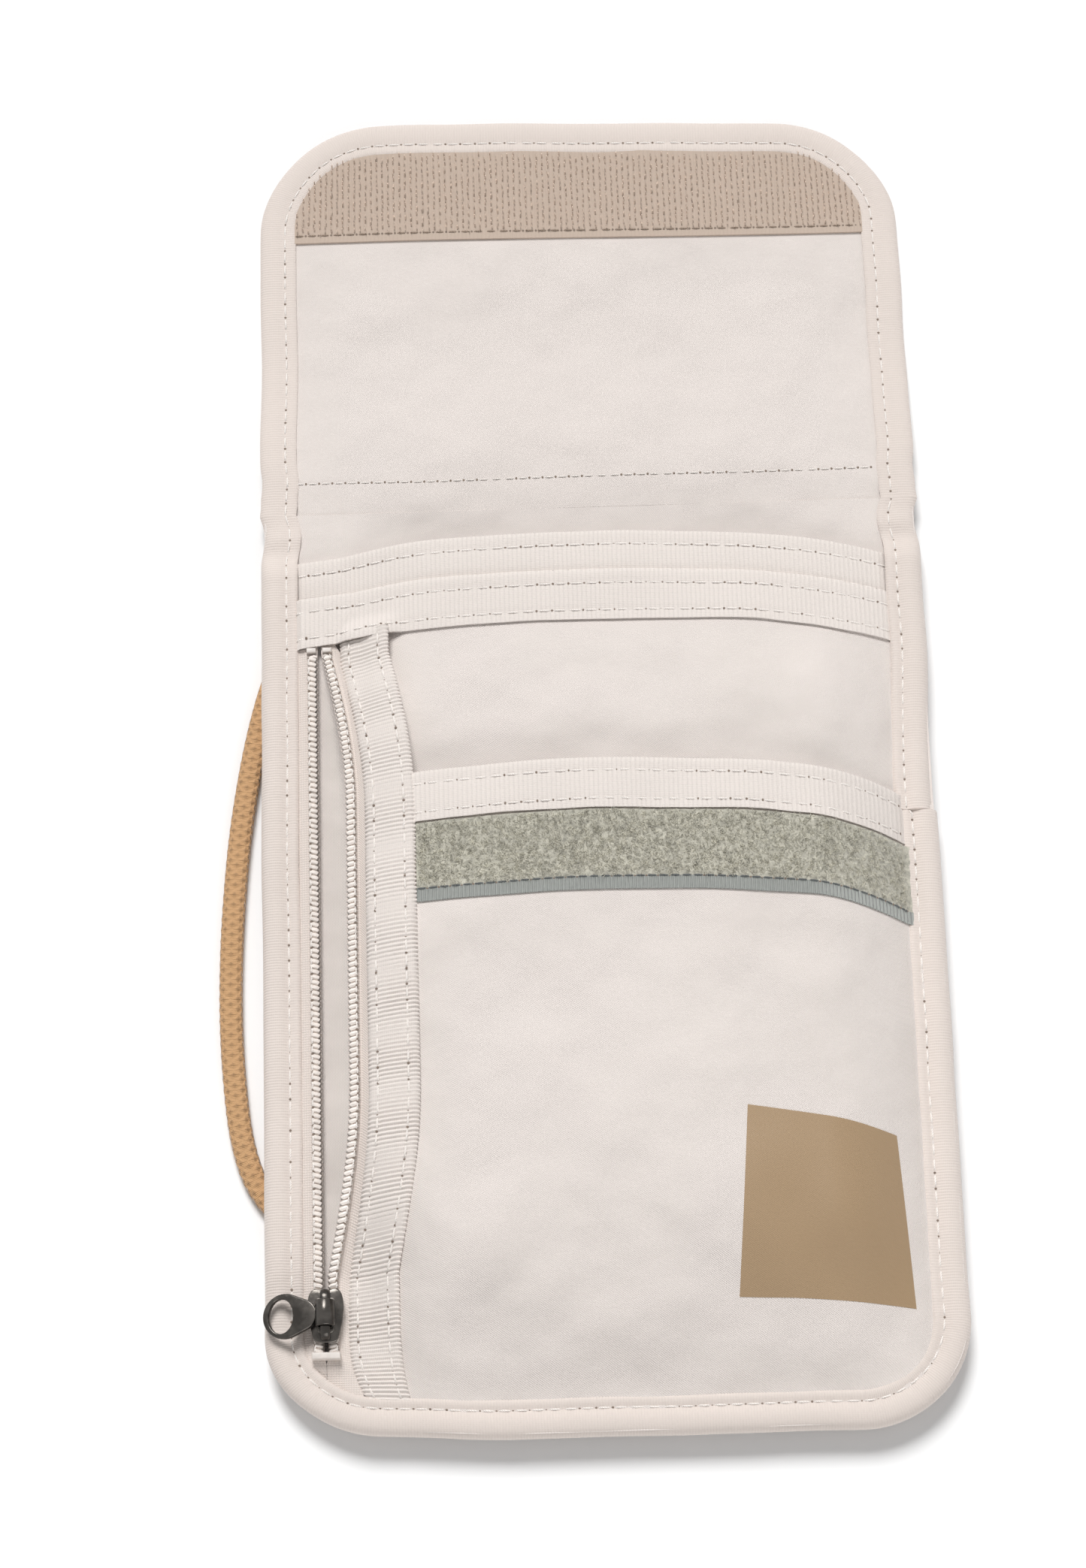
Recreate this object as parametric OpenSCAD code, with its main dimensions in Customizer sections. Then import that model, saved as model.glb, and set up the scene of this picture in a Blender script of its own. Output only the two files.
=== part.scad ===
// Neck pouch wallet, lying open on its back: body at -Y, flap laid back at +Y, cord wound beneath it.
// Millimetres. The origin is under the middle of the open pouch, on the surface that it lies on.

/* [Pouch] */
// Width over the edge binding
pouch_w = 150; // [125:1:180]
// Length of the body, from its bottom edge to the first fold
body_l = 206; // [172:1:248]
// Length of the spine strip between the two folds
spine_l = 15; // [15:1:18]
// Length of the flap, from the second fold to its free edge
flap_l = 95; // [90:1:114]
// Radius of the body's bottom corners
body_corner_r = 24; // [18:1:29]
// Radius of the flap's corners
flap_corner_r = 28; // [20:1:32]
// Height of the body's underside above the surface, over the wound cord
lift = 3.4; // [3.3:0.1:4]

/* [Binding] */
// Width of the edge binding
bind_w = 8; // [7:0.5:9]
// Thickness of the binding round the body
body_bind_t = 5; // [5:0.1:5.6]
// Thickness of the binding round the spine and the flap
flap_bind_t = 2.4; // [2.4:0.1:2.8]
// Thickness of the folded binding cloth
bind_wall = 0.5; // [0.4:0.05:0.6]

/* [Pockets] */
// Depth of the rear pocket between its cloths
rear_gap = 4.7; // [3.9:0.1:4.8]
// Depth of the zip pocket between its cloths
zip_gap = 4.7; // [3.9:0.1:4.8]
// Depth of the front pocket between its cloths
front_gap = 4.7; // [3.9:0.1:4.8]
// Distance from the first fold down to the rear pocket's mouth
rear_mouth = 2; // [1.7:0.1:4]
// Distance from the first fold down to the zip pocket's top edge
zip_top = 11.8; // [11:0.1:14]
// Distance from the first fold down to the front pocket's mouth
front_mouth = 61; // [51:1:70]
// How far the pocket mouths dip at their ends
mouth_dip = 5; // [0:0.5:6]
// Width of the ribbed tape on the zip pocket and the front pocket
tape_w = 11; // [9:0.5:11]
// Width of the ribbed tape down the left of the front pocket
side_tape_w = 11; // [9:0.5:13]
// Thickness of the ribbed tape
tape_t = 0.75; // [0.6:0.05:0.8]

/* [Touch fastener] */
// Width of the hook tape on the flap
hook_w = 24.5; // [20:0.5:29]
// Distance from the flap's free edge to the hook tape
hook_edge = 7; // [6:0.5:9]
// Height of the hook tape
hook_t = 1.5; // [1.2:0.1:1.6]
// Width of the loop tape on the front pocket
loop_w = 18; // [15:0.5:22]
// Height of the loop tape
loop_t = 0.75; // [0.6:0.05:0.8]

/* [Zip] */
// Distance of the zip's middle line from the left edge
zip_inset = 13.5; // [13:0.1:14]
// Width of one zip coil
coil_w = 2.1; // [1.8:0.1:2.2]
// Height of one zip coil
coil_h = 1.5; // [1.2:0.1:1.6]
// Length of the slider
slider_l = 11.5; // [10:0.5:14]
// Width of the slider
slider_w = 7.7; // [7.6:0.1:8.2]
// Travel of the slider
zip_travel = 142; // [110:1:142]
// Length of the puller beyond the bail
puller_l = 13.6; // [12:0.2:16.4]
// Width of the puller at its free end
puller_w = 9.8; // [8:0.2:11.6]

/* [Neck cord] */
// Width of the flat neck cord
cord_w = 5.2; // [4.4:0.1:6]
// Thickness of the flat neck cord
cord_t = 3.2; // [2.8:0.1:3.2]
// Outer radius of the wound cord
cord_coil_r = 48.5; // [42:0.5:56]

/* [Hidden] */

// Colours
CLOTH = [0.89, 0.86, 0.84];
BINDING = [0.87, 0.83, 0.81];
RIBBED = [0.91, 0.88, 0.85];
HOOK = [0.73, 0.67, 0.60];
LOOP = [0.60, 0.61, 0.58];
COIL = [0.91, 0.88, 0.85];
CORD = [0.72, 0.56, 0.40];
METAL = [0.23, 0.23, 0.22];
FOIL = [0.70, 0.71, 0.73];

// Plan: the edges of the open pouch and its two folds
half_w = pouch_w / 2;
y_bottom = -(body_l + spine_l + flap_l) / 2;
y_fold1 = y_bottom + body_l;
y_fold2 = y_fold1 + spine_l;
y_free = y_fold2 + flap_l;
fold_gap = 0.15;      // each body stops this far from its fold line
edge_in = 1.2;        // cloth edges stop this far inside the binding's outer edge

// Thickness of each cloth, and the height at which its edge lies in the body's binding
seat = 0.05;          // gap between cloths that are sewn together
shell_t = 0.7;
foil_t = 0.25;
lining_t = 0.4;
panel_t = 0.5;
z_back = lift + bind_wall + 3 * seat;
z_foil = z_back + shell_t + seat;
z_back_lining = z_foil + foil_t + seat;
z_rear = z_back_lining + lining_t + seat;
z_zip_lining = z_rear + lining_t + seat;
z_zip = z_zip_lining + lining_t + seat;
z_front = z_zip + panel_t + seat;
slip_gap = 0.3;       // depth of the flat slip pocket

// Flap: it falls from the body's height to the surface, and lies flat from there
fall_l = 38;
fall_steps = 10;
z_hinge = lift + flap_bind_t;

// Rise of the pockets over their sewn edges
side_rise = 22;       // length over which a pocket fills out from its side seam
bottom_rise = 45;     // the same from the bottom seam
top_rise = 30;        // the same from the zip pocket's top seam
lining_start = 18.5;  // distance from the left edge at which the rear pocket starts to rise
zip_edge = 18.2;      // distance from the left edge to the zip pocket panel's free edge
edge_bow = 5.5;       // sideways bow of that free edge, half way up
edge_lift = 9.7;      // height of that free edge over its seam, half way up
edge_low = y_bottom + 36;
edge_top = 28;         // distance from the first fold to the upper end of the zip's opening
edge_high = y_fold1 - edge_top;
edge_run = 40;
front_edge_in = 5;    // the front pocket's edge lies this far inside the zip panel's edge
side_tape_seat = 0.35;
zip_tape_seat = 0.35;

// Zip
x_zip = -half_w + zip_inset;
slider_y = y_bottom + 27;
z_tape = lift + body_bind_t - 0.7;
zip_tape_t = 0.45;
z_coil = z_tape + zip_tape_t + seat + coil_h / 2;
coil_off = 0.7;       // half of the way between the two coils
coil_rise = 0.92;     // share of the panel edge's rise that the right coil follows
coil_low = slider_y - 8;
coil_high = edge_high;
stop_l = 1.6;
top_stop_l = 1.1;
zip_tape_low = coil_low - stop_l - 1;
zip_tape_high = edge_high + 7;
plate_t = 0.75;
z_plate_top = z_coil + coil_h / 2 + 0.25;
z_plate_bottom = z_tape - 0.2 - plate_t;
wall_t = 0.75;
plate_r = 1.4;
bail_r = 1.2;
barrel_r = 2.1;
barrel_bore_r = 1.5;
barrel_l = 5.6;
ear_l = 2.4;
ear_gap = 0.3;
z_bail = z_plate_top + plate_t + barrel_r + 0.3;
puller_t = 1.4;
puller_down = 15;     // the puller lies this many degrees below level
puller_neck = 3.3;
puller_inner_w = 7.5;
puller_hole_r = 2.15;  // the hole is a slot across the puller
puller_hole_l = 3.2;
puller_hole_in = 5;

// Cord: points on its middle line where it isn't wound, chosen by hand
cord_coil_at = [0, -45];
cord_left_route = [[-60, 38], [-63, 34], [-67, 28], [-71, 20], [-74.5, 9], [-77.5, -5], [-80, -22],
    [-81.6, -42], [-82, -60], [-81.3, -76], [-79.4, -91], [-75.5, -101.5], [-68, -109.5],
    [-58, -114], [-47, -113.5], [-36, -108.5], [-25, -101.5], [-13, -94], [0, -90.9]];
cord_right_route = [[0, 0.9], [14, 2.8], [28, 7.6], [40, 14.6], [50, 23], [56.5, 31], [60, 38]];
cord_rings_per_leg = 2;
anchor_size = [12, 12];
anchor_at = [60, 35];

$fn = 48;

// Helpers
function clamp01(v) = max(0, min(1, v));
function swell(v) = sin(90 * clamp01(v));
function ease(v) = clamp01(v) * clamp01(v) * (3 - 2 * clamp01(v));

// Half width of the body's cloths at height y, inside their rounded corners
function body_half(y) = let (r = body_corner_r - edge_in, down = y_bottom + body_corner_r - y)
    half_w - edge_in - (down <= 0 ? 0 : r - sqrt(max(0, r * r - min(r, down) * min(r, down))));

// Columns and rows on which all the curved cloths are built, so that they nest
x_core = half_w - 41;
x_full = half_w - edge_in;
left_steps = [-half_w + 25, -half_w + 32];
low_front_row = 98;   // rows of the grid, as distances below the first fold
upper_row = 42;
middle_cols = [-x_core, -0.23 * half_w, 0, 0.23 * half_w, x_core];
right_cols = [half_w - 30, half_w - 22, half_w - 15, half_w - bind_w, x_full];
left_cols = concat([-x_full, -half_w + bind_w, -half_w + lining_start], left_steps);
all_cols = concat(left_cols, middle_cols, right_cols);
low_rows = [for (v = [edge_in, bind_w, 15, 24, 36, 50, 66]) y_bottom + v];
front_rows = [for (v = [low_front_row, front_mouth + tape_w, front_mouth]) y_fold1 - v];
top_rows = [for (v = [upper_row, edge_top, zip_top + tape_w, zip_top]) y_fold1 - v];

// Where a point of that grid lies: columns draw in at the corners, and mouths dip at their ends
function grid_x(x, y) = abs(x) <= x_core ? x
    : sign(x) * (x_core + (abs(x) - x_core) * (body_half(y) - x_core) / (x_full - x_core));
function grid_y(x, y) = y - mouth_dip * pow(x / half_w, 2) * clamp01((y - y_bottom - 8) / 90);

// Rises of the pocket cloths over their sewn edges
function up_from_bottom(y) = swell((y - y_bottom - bind_w) / bottom_rise);
function in_from_right(x) = swell((half_w - bind_w - x) / side_rise);
function in_from_left(x, start) = swell((x + half_w - start) / side_rise);
function edge_share(y) = swell((y - edge_low) / edge_run) * swell((edge_high - y) / edge_run);
function edge_x(y) = -half_w + zip_edge + edge_bow * edge_share(y);
function rear_up(x, y) = rear_gap * up_from_bottom(y) * in_from_right(x) * in_from_left(x, lining_start);
function lining_up(x, y) = rear_up(x, y) * (rear_gap + slip_gap) / rear_gap;
function zip_depth(x, y) = let (m = ease((x + half_w - zip_edge) / side_rise))
    (1 - m) * edge_lift * edge_share(y)
    + m * zip_gap * up_from_bottom(y) * swell((y_fold1 - zip_top - tape_w - y) / top_rise);
function zip_up(x, y) = lining_up(x, y) + in_from_right(x) * zip_depth(x, y);
function front_up(x, y) = zip_up(x, y) + front_gap * up_from_bottom(y) * in_from_right(x)
    * in_from_left(x, zip_edge + front_edge_in);

// Columns of the two panels that have a free left edge, at row y
function edge_cols(y, from) = concat([edge_x(y) + from],
    [for (c = left_steps) max(c, edge_x(y) + from + (c + half_w - 18) / 4)],
    middle_cols, right_cols);

// A curved cloth between two heights, on rows of points: each row has its own list of columns
module cloth(rows, cols_at, low, thick) {
    nx = len(cols_at(rows[0]));
    ny = len(rows);
    points = [for (top = [0, 1]) for (y = rows) for (x = cols_at(y))
        [grid_x(x, y), grid_y(x, y), low(x, y) + top * thick]];
    grid_solid(points, nx, ny);
}

// A closed solid from a lower and an upper grid of points
module grid_solid(points, nx, ny) {
    function at(top, j, i) = (top * ny + j) * nx + i;
    rim = concat([for (i = [0:nx - 1]) [0, i]], [for (j = [1:ny - 1]) [j, nx - 1]],
        [for (i = [nx - 2:-1:0]) [ny - 1, i]], [for (j = [ny - 2:-1:1]) [j, 0]]);
    upper = [for (j = [0:ny - 2]) for (i = [0:nx - 2]) each [
        [at(1, j, i), at(1, j + 1, i), at(1, j + 1, i + 1)],
        [at(1, j, i), at(1, j + 1, i + 1), at(1, j, i + 1)]]];
    lower = [for (j = [0:ny - 2]) for (i = [0:nx - 2]) each [
        [at(0, j, i), at(0, j + 1, i + 1), at(0, j + 1, i)],
        [at(0, j, i), at(0, j, i + 1), at(0, j + 1, i + 1)]]];
    sides = [for (k = [0:len(rim) - 1]) let (p = rim[k], q = rim[(k + 1) % len(rim)]) each [
        [at(0, p[0], p[1]), at(1, p[0], p[1]), at(1, q[0], q[1])],
        [at(0, p[0], p[1]), at(1, q[0], q[1]), at(0, q[0], q[1])]]];
    polyhedron(points, concat(upper, lower, sides), convexity = 8);
}

// Outline of the body from its bottom edge to the first fold, drawn in by a distance
module body_outline(inset) {
    r = body_corner_r - inset;
    translate([-half_w + inset, y_bottom + body_corner_r])
        square([pouch_w - 2 * inset, body_l - body_corner_r - fold_gap]);
    translate([-half_w + body_corner_r, y_bottom + inset])
        square([pouch_w - 2 * body_corner_r, body_corner_r - inset + 1]);
    for (s = [-1, 1]) translate([s * (half_w - body_corner_r), y_bottom + body_corner_r]) circle(r);
}

// Outline of the flap from the second fold to its free edge, drawn in by a distance
module flap_outline(inset) {
    r = flap_corner_r - inset;
    translate([-half_w + inset, y_fold2 + fold_gap])
        square([pouch_w - 2 * inset, flap_l - flap_corner_r - fold_gap]);
    translate([-half_w + flap_corner_r, y_free - flap_corner_r - 1])
        square([pouch_w - 2 * flap_corner_r, flap_corner_r - inset + 1]);
    for (s = [-1, 1]) translate([s * (half_w - flap_corner_r), y_free - flap_corner_r]) circle(r);
}

// A slab that follows the flap's fall from the fold to the surface, between two heights over it
function fall(y) = lift * (1 - ease((y - y_fold2) / fall_l));
module flap_slab(low, high) {
    ys = concat([y_fold2 - 1], [for (k = [0:fall_steps]) y_fold2 + fall_l * k / fall_steps], [y_free + 1]);
    under = [for (y = ys) [y, fall(y) + low]];
    over = [for (k = [len(ys) - 1:-1:0]) [ys[k], fall(ys[k]) + high]];
    rotate([90, 0, 90]) linear_extrude(pouch_w + 2, center = true) polygon(concat(under, over));
}

module flap_sheet(inset, low, high) {
    intersection() {
        linear_extrude(3 * lift) flap_outline(inset);
        flap_slab(low, high);
    }
}

// A flat tube through points on the surface: rings of eight points, joined in order
cord_ring = [for (p = [[0.5, 0.28], [0.33, 0.5], [-0.33, 0.5], [-0.5, 0.28],
    [-0.5, -0.28], [-0.33, -0.5], [0.33, -0.5], [0.5, -0.28]]) [p[0] * cord_w, p[1] * cord_t]];
function route_point(route, k, t) = let (n = len(route) - 1, a = route[max(0, k - 1)], b = route[k],
    c = route[min(n, k + 1)], d = route[min(n, k + 2)])
    0.5 * ((2 * b) + (c - a) * t + (2 * a - 5 * b + 4 * c - d) * t * t
        + (3 * b - a - 3 * c + d) * t * t * t);
function smooth_route(route) = concat([for (k = [0:len(route) - 2]) for (s = [0:cord_rings_per_leg - 1])
    route_point(route, k, s / cord_rings_per_leg)], [route[len(route) - 1]]);
module cord_tube(route) {
    line = smooth_route(route);
    n = len(line);
    m = len(cord_ring);
    points = [for (k = [0:n - 1]) let (d = line[min(n - 1, k + 1)] - line[max(0, k - 1)],
        side = [d[1], -d[0]] / norm(d)) for (p = cord_ring)
        [line[k][0] + side[0] * p[0], line[k][1] + side[1] * p[0], cord_t / 2 + p[1]]];
    skin = [for (k = [0:n - 2]) for (i = [0:m - 1]) let (j = (i + 1) % m) each [
        [k * m + i, k * m + j, (k + 1) * m + j],
        [k * m + i, (k + 1) * m + j, (k + 1) * m + i]]];
    ends = [[for (i = [m - 1:-1:0]) i], [for (i = [0:m - 1]) (n - 1) * m + i]];
    polyhedron(points, concat(skin, ends), convexity = 6);
}

// Body cloths, from the back to the front
module flat_cloth(z, thick) {
    translate([0, 0, z]) linear_extrude(thick) body_outline(edge_in);
}
module back_shell() { color(CLOTH) flat_cloth(z_back, shell_t); }
module rfid_liner() { color(FOIL) flat_cloth(z_foil, foil_t); }
module back_lining() { color(CLOTH) flat_cloth(z_back_lining, lining_t); }

module rear_pocket_panel() {
    rows = concat(low_rows, front_rows, top_rows, [y_fold1 - rear_mouth]);
    color(CLOTH) cloth(rows, function (y) all_cols, function (x, y) z_rear + rear_up(x, y), lining_t);
}
module rear_pocket_tape() {
    rows = [y_fold1 - zip_top + 0.5, y_fold1 - rear_mouth];
    inner = [for (c = all_cols) if (abs(c) < half_w - bind_w + 0.1) c];
    color(RIBBED) cloth(rows, function (y) inner,
        function (x, y) z_rear + lining_t + seat + rear_up(x, y), tape_t);
}
module zip_pocket_lining() {
    color(CLOTH) cloth(concat(low_rows, front_rows, top_rows), function (y) all_cols,
        function (x, y) z_zip_lining + lining_up(x, y), lining_t);
}
module zip_pocket_panel() {
    color(CLOTH) cloth(concat(low_rows, front_rows, top_rows), function (y) edge_cols(y, 0),
        function (x, y) z_zip + zip_up(x, y), panel_t);
}
module zip_pocket_tape() {
    rows = [y_fold1 - zip_top - tape_w, y_fold1 - zip_top];
    ends = [-half_w + bind_w + 0.2, -half_w + zip_edge - 1];
    z_end = z_tape + zip_tape_t + 0.15;
    inner = [for (c = right_cols) if (c < half_w - bind_w + 0.1) c];
    cols = concat(ends, left_steps, middle_cols, inner);
    color(RIBBED) cloth(rows, function (y) cols,
        function (x, y) max(x < 0 ? z_end : 0, z_zip + panel_t + seat + zip_up(x, y)), tape_t);
}
module front_pocket_panel() {
    color(CLOTH) cloth(concat(low_rows, front_rows), function (y) edge_cols(y, front_edge_in),
        function (x, y) z_front + front_up(x, y), shell_t);
}
module front_pocket_tape() {
    rows = [y_fold1 - front_mouth - tape_w + 0.5, y_fold1 - front_mouth];
    inner = [for (c = right_cols) if (c < half_w - bind_w + 0.1) c];
    color(RIBBED) cloth(rows,
        function (y) concat([edge_x(y) + side_tape_w + 0.3, -x_core + 2], middle_cols_inner(), inner),
        function (x, y) z_front + shell_t + seat + front_up(x, y), tape_t);
}
function middle_cols_inner() = [for (k = [1:len(middle_cols) - 1]) middle_cols[k]];
module loop_strip() {
    top = y_fold1 - front_mouth - tape_w;
    inner = [for (c = right_cols) if (c < half_w - bind_w - 1) c];
    color(LOOP) cloth([top - loop_w, top],
        function (y) concat([edge_x(y) + side_tape_w + 0.3, -x_core + 2], middle_cols_inner(), inner),
        function (x, y) z_front + shell_t + seat + front_up(x, y), loop_t);
}
module side_tape() {
    rows = [for (y = concat(low_rows, front_rows, [y_fold1 - upper_row, y_fold1 - zip_top - tape_w - 1]))
        if (y > y_bottom + bind_w - 1) y + (y < y_bottom + bind_w + 1 ? 0.3 : 0)];
    color(RIBBED) cloth(rows,
        function (y) [for (share = [0, 0.45, 0.6, 0.8, 1]) edge_x(y) + share * side_tape_w],
        function (x, y) z_front + shell_t + side_tape_seat + front_up(x, y), tape_t);
}

// Zip
function coil_up(y) = coil_rise * edge_lift * edge_share(y);
function coil_rows(low) = concat([low],
    [for (y = concat(low_rows, front_rows, [y_fold1 - upper_row])) if (y > low + 0.5) y], [coil_high]);
module zip_tape_left() {
    x0 = -half_w + edge_in;
    x1 = -half_w + bind_w;
    x2 = x_zip - coil_off;
    profile = [[x0, z_zip], [x1, z_zip], [x1 + 2, z_tape], [x2, z_tape], [x2, z_tape + zip_tape_t],
        [x1 + 1.8, z_tape + zip_tape_t], [x1 - 0.2, z_zip + zip_tape_t], [x0, z_zip + zip_tape_t]];
    color(BINDING) intersection() {
        translate([0, zip_tape_high, 0]) rotate([90, 0, 0])
            linear_extrude(zip_tape_high - zip_tape_low) polygon(profile);
        linear_extrude(3 * body_bind_t) body_outline(edge_in);
    }
}
module zip_tape_right() {
    rows = concat(coil_rows(zip_tape_low), [coil_high + stop_l + 0.4]);
    free = [x_zip + coil_off, x_zip + slider_w / 2 + 0.3];
    points = [for (top = [0, 1]) for (y = rows) concat(
        [for (x = free) [x + edge_bow * edge_share(y), y, z_tape + coil_up(y) + top * zip_tape_t]],
        [for (x = [edge_x(y) + 0.3, edge_x(y) + 3])
            [x, grid_y(x, y), z_front + zip_tape_seat + zip_up(x, y) + top * zip_tape_t]])];
    color(BINDING) grid_solid([for (row = points) each row], 4, len(rows));
}
module coil_profile() {
    r = coil_h / 2 - seat;
    for (s = [-1, 1]) translate([s * (coil_w / 2 - r), 0]) circle(r, $fn = 16);
    square([coil_w - 2 * r, 2 * r], center = true);
}
module zip_coil_left() {
    color(COIL) translate([x_zip - coil_off - coil_w / 2, coil_high, z_coil]) rotate([90, 0, 0])
        linear_extrude(coil_high - coil_low) coil_profile();
}
module zip_coil_right() {
    rows = coil_rows(coil_low);
    half_h = coil_h / 2 - seat;
    points = [for (top = [-1, 1]) for (y = rows) for (s = [0, 1])
        [x_zip + coil_off + s * coil_w + edge_bow * edge_share(y), y,
            z_coil + coil_up(y) + top * half_h]];
    color(COIL) grid_solid(points, 2, len(rows));
}
module zip_stop(low, high) {
    translate([low, 0, z_tape - 0.3]) cube([high - low, stop_l, coil_h + zip_tape_t + 0.9]);
}
module zip_bottom_stop() {
    reach = coil_off + coil_w + 0.2;
    color(COIL) translate([0, coil_low - stop_l - 0.1, 0]) difference() {
        zip_stop(x_zip - reach, x_zip + reach);
        for (s = [-1, 1]) translate([x_zip + s * (reach + coil_off) / 2 - s * 0.1, -1, z_tape - 0.05])
            translate([-reach / 2, 0, 0]) cube([reach, stop_l + 2, zip_tape_t + 0.1]);
    }
}
module zip_top_stops() {
    color(COIL) for (s = [-1, 1]) translate([x_zip + s * (coil_off + coil_w / 2), coil_high + 0.1, 0])
        translate([0, 0, z_tape + zip_tape_t + 0.05])
            translate([-coil_w / 2, 0, 0]) cube([coil_w, top_stop_l, coil_h - 0.1]);
}
module rounded_plate(w, l, t) {
    linear_extrude(t) {
        square([w - 2 * plate_r, l], center = true);
        square([w, l - 2 * plate_r], center = true);
        for (a = [-1, 1]) for (b = [-1, 1])
            translate([a * (w / 2 - plate_r), b * (l / 2 - plate_r)]) circle(plate_r);
    }
}
module zip_slider() {
    z_wall = z_tape + zip_tape_t + 0.2;
    color(METAL) translate([x_zip, slider_y, 0]) {
        translate([0, 0, z_plate_bottom]) rounded_plate(slider_w, slider_l, plate_t);
        translate([0, 0, z_plate_top]) rounded_plate(slider_w, slider_l, plate_t);
        translate([-coil_off + 0.2, 1, z_plate_bottom + plate_t / 2])
            cube([2 * coil_off - 0.4, slider_l / 2 - 2, z_plate_top - z_plate_bottom]);
        for (s = [-1, 1]) translate([s * (slider_w - wall_t) / 2, 0, (z_wall + z_plate_top + 0.3) / 2])
            cube([wall_t, slider_l - 3, z_plate_top + 0.3 - z_wall], center = true);
        for (s = [-1, 1]) translate([0, s * (barrel_l / 2 + ear_gap + ear_l / 2), 0]) bail_ear();
        translate([0, 0, z_bail]) rotate([90, 0, 0])
            cylinder(r = bail_r, h = barrel_l + 2 * ear_gap + 1, center = true);
    }
}
module bail_ear() {
    tall = z_bail - z_plate_top;
    translate([0, 0, z_plate_top + tall / 2]) cube([2 * bail_r, ear_l, tall], center = true);
    translate([0, 0, z_bail]) rotate([90, 0, 0]) cylinder(r = bail_r, h = ear_l, center = true);
}
module zip_puller() {
    color(METAL) translate([x_zip, slider_y, z_bail]) rotate([0, -puller_down, 0]) difference() {
        union() {
            rotate([90, 0, 0]) cylinder(r = barrel_r, h = barrel_l, center = true);
            translate([0, 0, -puller_t / 2]) linear_extrude(puller_t) puller_outline();
        }
        rotate([90, 0, 0]) cylinder(r = barrel_bore_r, h = barrel_l + 2, center = true);
        translate([-puller_l + puller_hole_in, 0, -puller_t]) linear_extrude(2 * puller_t) {
            for (s = [-1, 1]) translate([0, s * puller_hole_l / 2]) circle(puller_hole_r);
            square([2 * puller_hole_r, puller_hole_l], center = true);
        }
    }
}
module puller_outline() {
    r = 1.5;
    far = puller_w / 2;
    near = puller_inner_w / 2;
    translate([-puller_neck - 0.5, -barrel_l / 2]) square([puller_neck - 0.5, barrel_l]);
    polygon([[-puller_neck, -near], [-puller_neck, near], [-puller_l + r, far], [-puller_l + r, -far]]);
    translate([-puller_l, -far + r]) square([r + 0.01, puller_w - 2 * r]);
    for (s = [-1, 1]) translate([-puller_l + r, s * (far - r)]) circle(r);
}

// Edge bindings: folded cloth round the cloths' edges
module body_binding() {
    color(BINDING) difference() {
        translate([0, 0, lift]) linear_extrude(body_bind_t) difference() {
            body_outline(0);
            body_inside();
        }
        translate([0, 0, lift + bind_wall]) linear_extrude(body_bind_t - 2 * bind_wall) body_outline(1);
    }
}
module body_inside() {
    body_outline(bind_w);
    translate([-half_w + bind_w, y_fold1 - 2]) square([pouch_w - 2 * bind_w, 4]);
}
module spine_strip(low, high, inset) {
    translate([-half_w + inset, y_fold1 + fold_gap, lift + low])
        cube([pouch_w - 2 * inset, spine_l - 2 * fold_gap, high - low]);
}
flap_shell_low = bind_wall + seat;
flap_lining_low = flap_shell_low + shell_t + seat;
module spine_shell() { color(CLOTH) spine_strip(flap_shell_low, flap_shell_low + shell_t, edge_in); }
module spine_lining() { color(CLOTH) spine_strip(flap_lining_low, flap_lining_low + lining_t, edge_in); }
module spine_binding() {
    color(BINDING) difference() {
        spine_strip(0, flap_bind_t, 0);
        translate([0, 0, -1]) spine_strip(0, flap_bind_t + 2, bind_w);
        spine_strip(bind_wall, flap_bind_t - bind_wall, 1);
    }
}
module flap_shell() { color(CLOTH) flap_sheet(edge_in, flap_shell_low, flap_shell_low + shell_t); }
module flap_lining() { color(CLOTH) flap_sheet(edge_in, flap_lining_low, flap_lining_low + lining_t); }
module flap_binding() {
    color(BINDING) difference() {
        intersection() {
            linear_extrude(3 * lift) difference() {
                flap_outline(0);
                flap_outline(bind_w);
                translate([-half_w + bind_w, y_fold2 - 2]) square([pouch_w - 2 * bind_w, 4]);
            }
            flap_slab(0, flap_bind_t);
        }
        flap_sheet(1, bind_wall, flap_bind_t - bind_wall);
    }
}
module hook_strip() {
    low = flap_lining_low + lining_t + seat;
    color(HOOK) translate([0, 0, low]) linear_extrude(hook_t) intersection() {
        flap_outline(bind_w + 0.5);
        translate([-half_w, y_free - hook_edge - hook_w]) square([pouch_w, hook_w]);
    }
}

// Neck cord and the patches that hold its ends under the back
module cord_anchor(side) {
    color(BINDING) translate([side * anchor_at[0] - anchor_size[0] / 2, anchor_at[1] - anchor_size[1] / 2,
        cord_t]) cube([anchor_size[0], anchor_size[1], z_back - cord_t]);
}
module cord_anchor_left() { cord_anchor(-1); }
module cord_anchor_right() { cord_anchor(1); }
module neck_cord_left() { color(CORD) cord_tube(cord_left_route); }
module neck_cord_right() { color(CORD) cord_tube(cord_right_route); }
module neck_cord_coil() {
    color(CORD) translate([cord_coil_at[0], cord_coil_at[1], 0]) cylinder(r = cord_coil_r, h = cord_t);
}

back_shell();
rfid_liner();
back_lining();
rear_pocket_panel();
rear_pocket_tape();
zip_pocket_lining();
zip_pocket_panel();
zip_pocket_tape();
front_pocket_panel();
front_pocket_tape();
loop_strip();
side_tape();
zip_tape_left();
zip_tape_right();
zip_coil_left();
zip_coil_right();
zip_bottom_stop();
zip_top_stops();
zip_slider();
zip_puller();
body_binding();
cord_anchor_left();
cord_anchor_right();
neck_cord_left();
neck_cord_coil();
neck_cord_right();
spine_shell();
spine_lining();
spine_binding();
flap_shell();
flap_lining();
flap_binding();
hook_strip();
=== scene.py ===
"""Neck pouch wallet: the looks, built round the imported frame. Lengths here are in millimetres."""
import math
import random
import bmesh
import bpy
from mathutils import Matrix, Vector, noise


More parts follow.
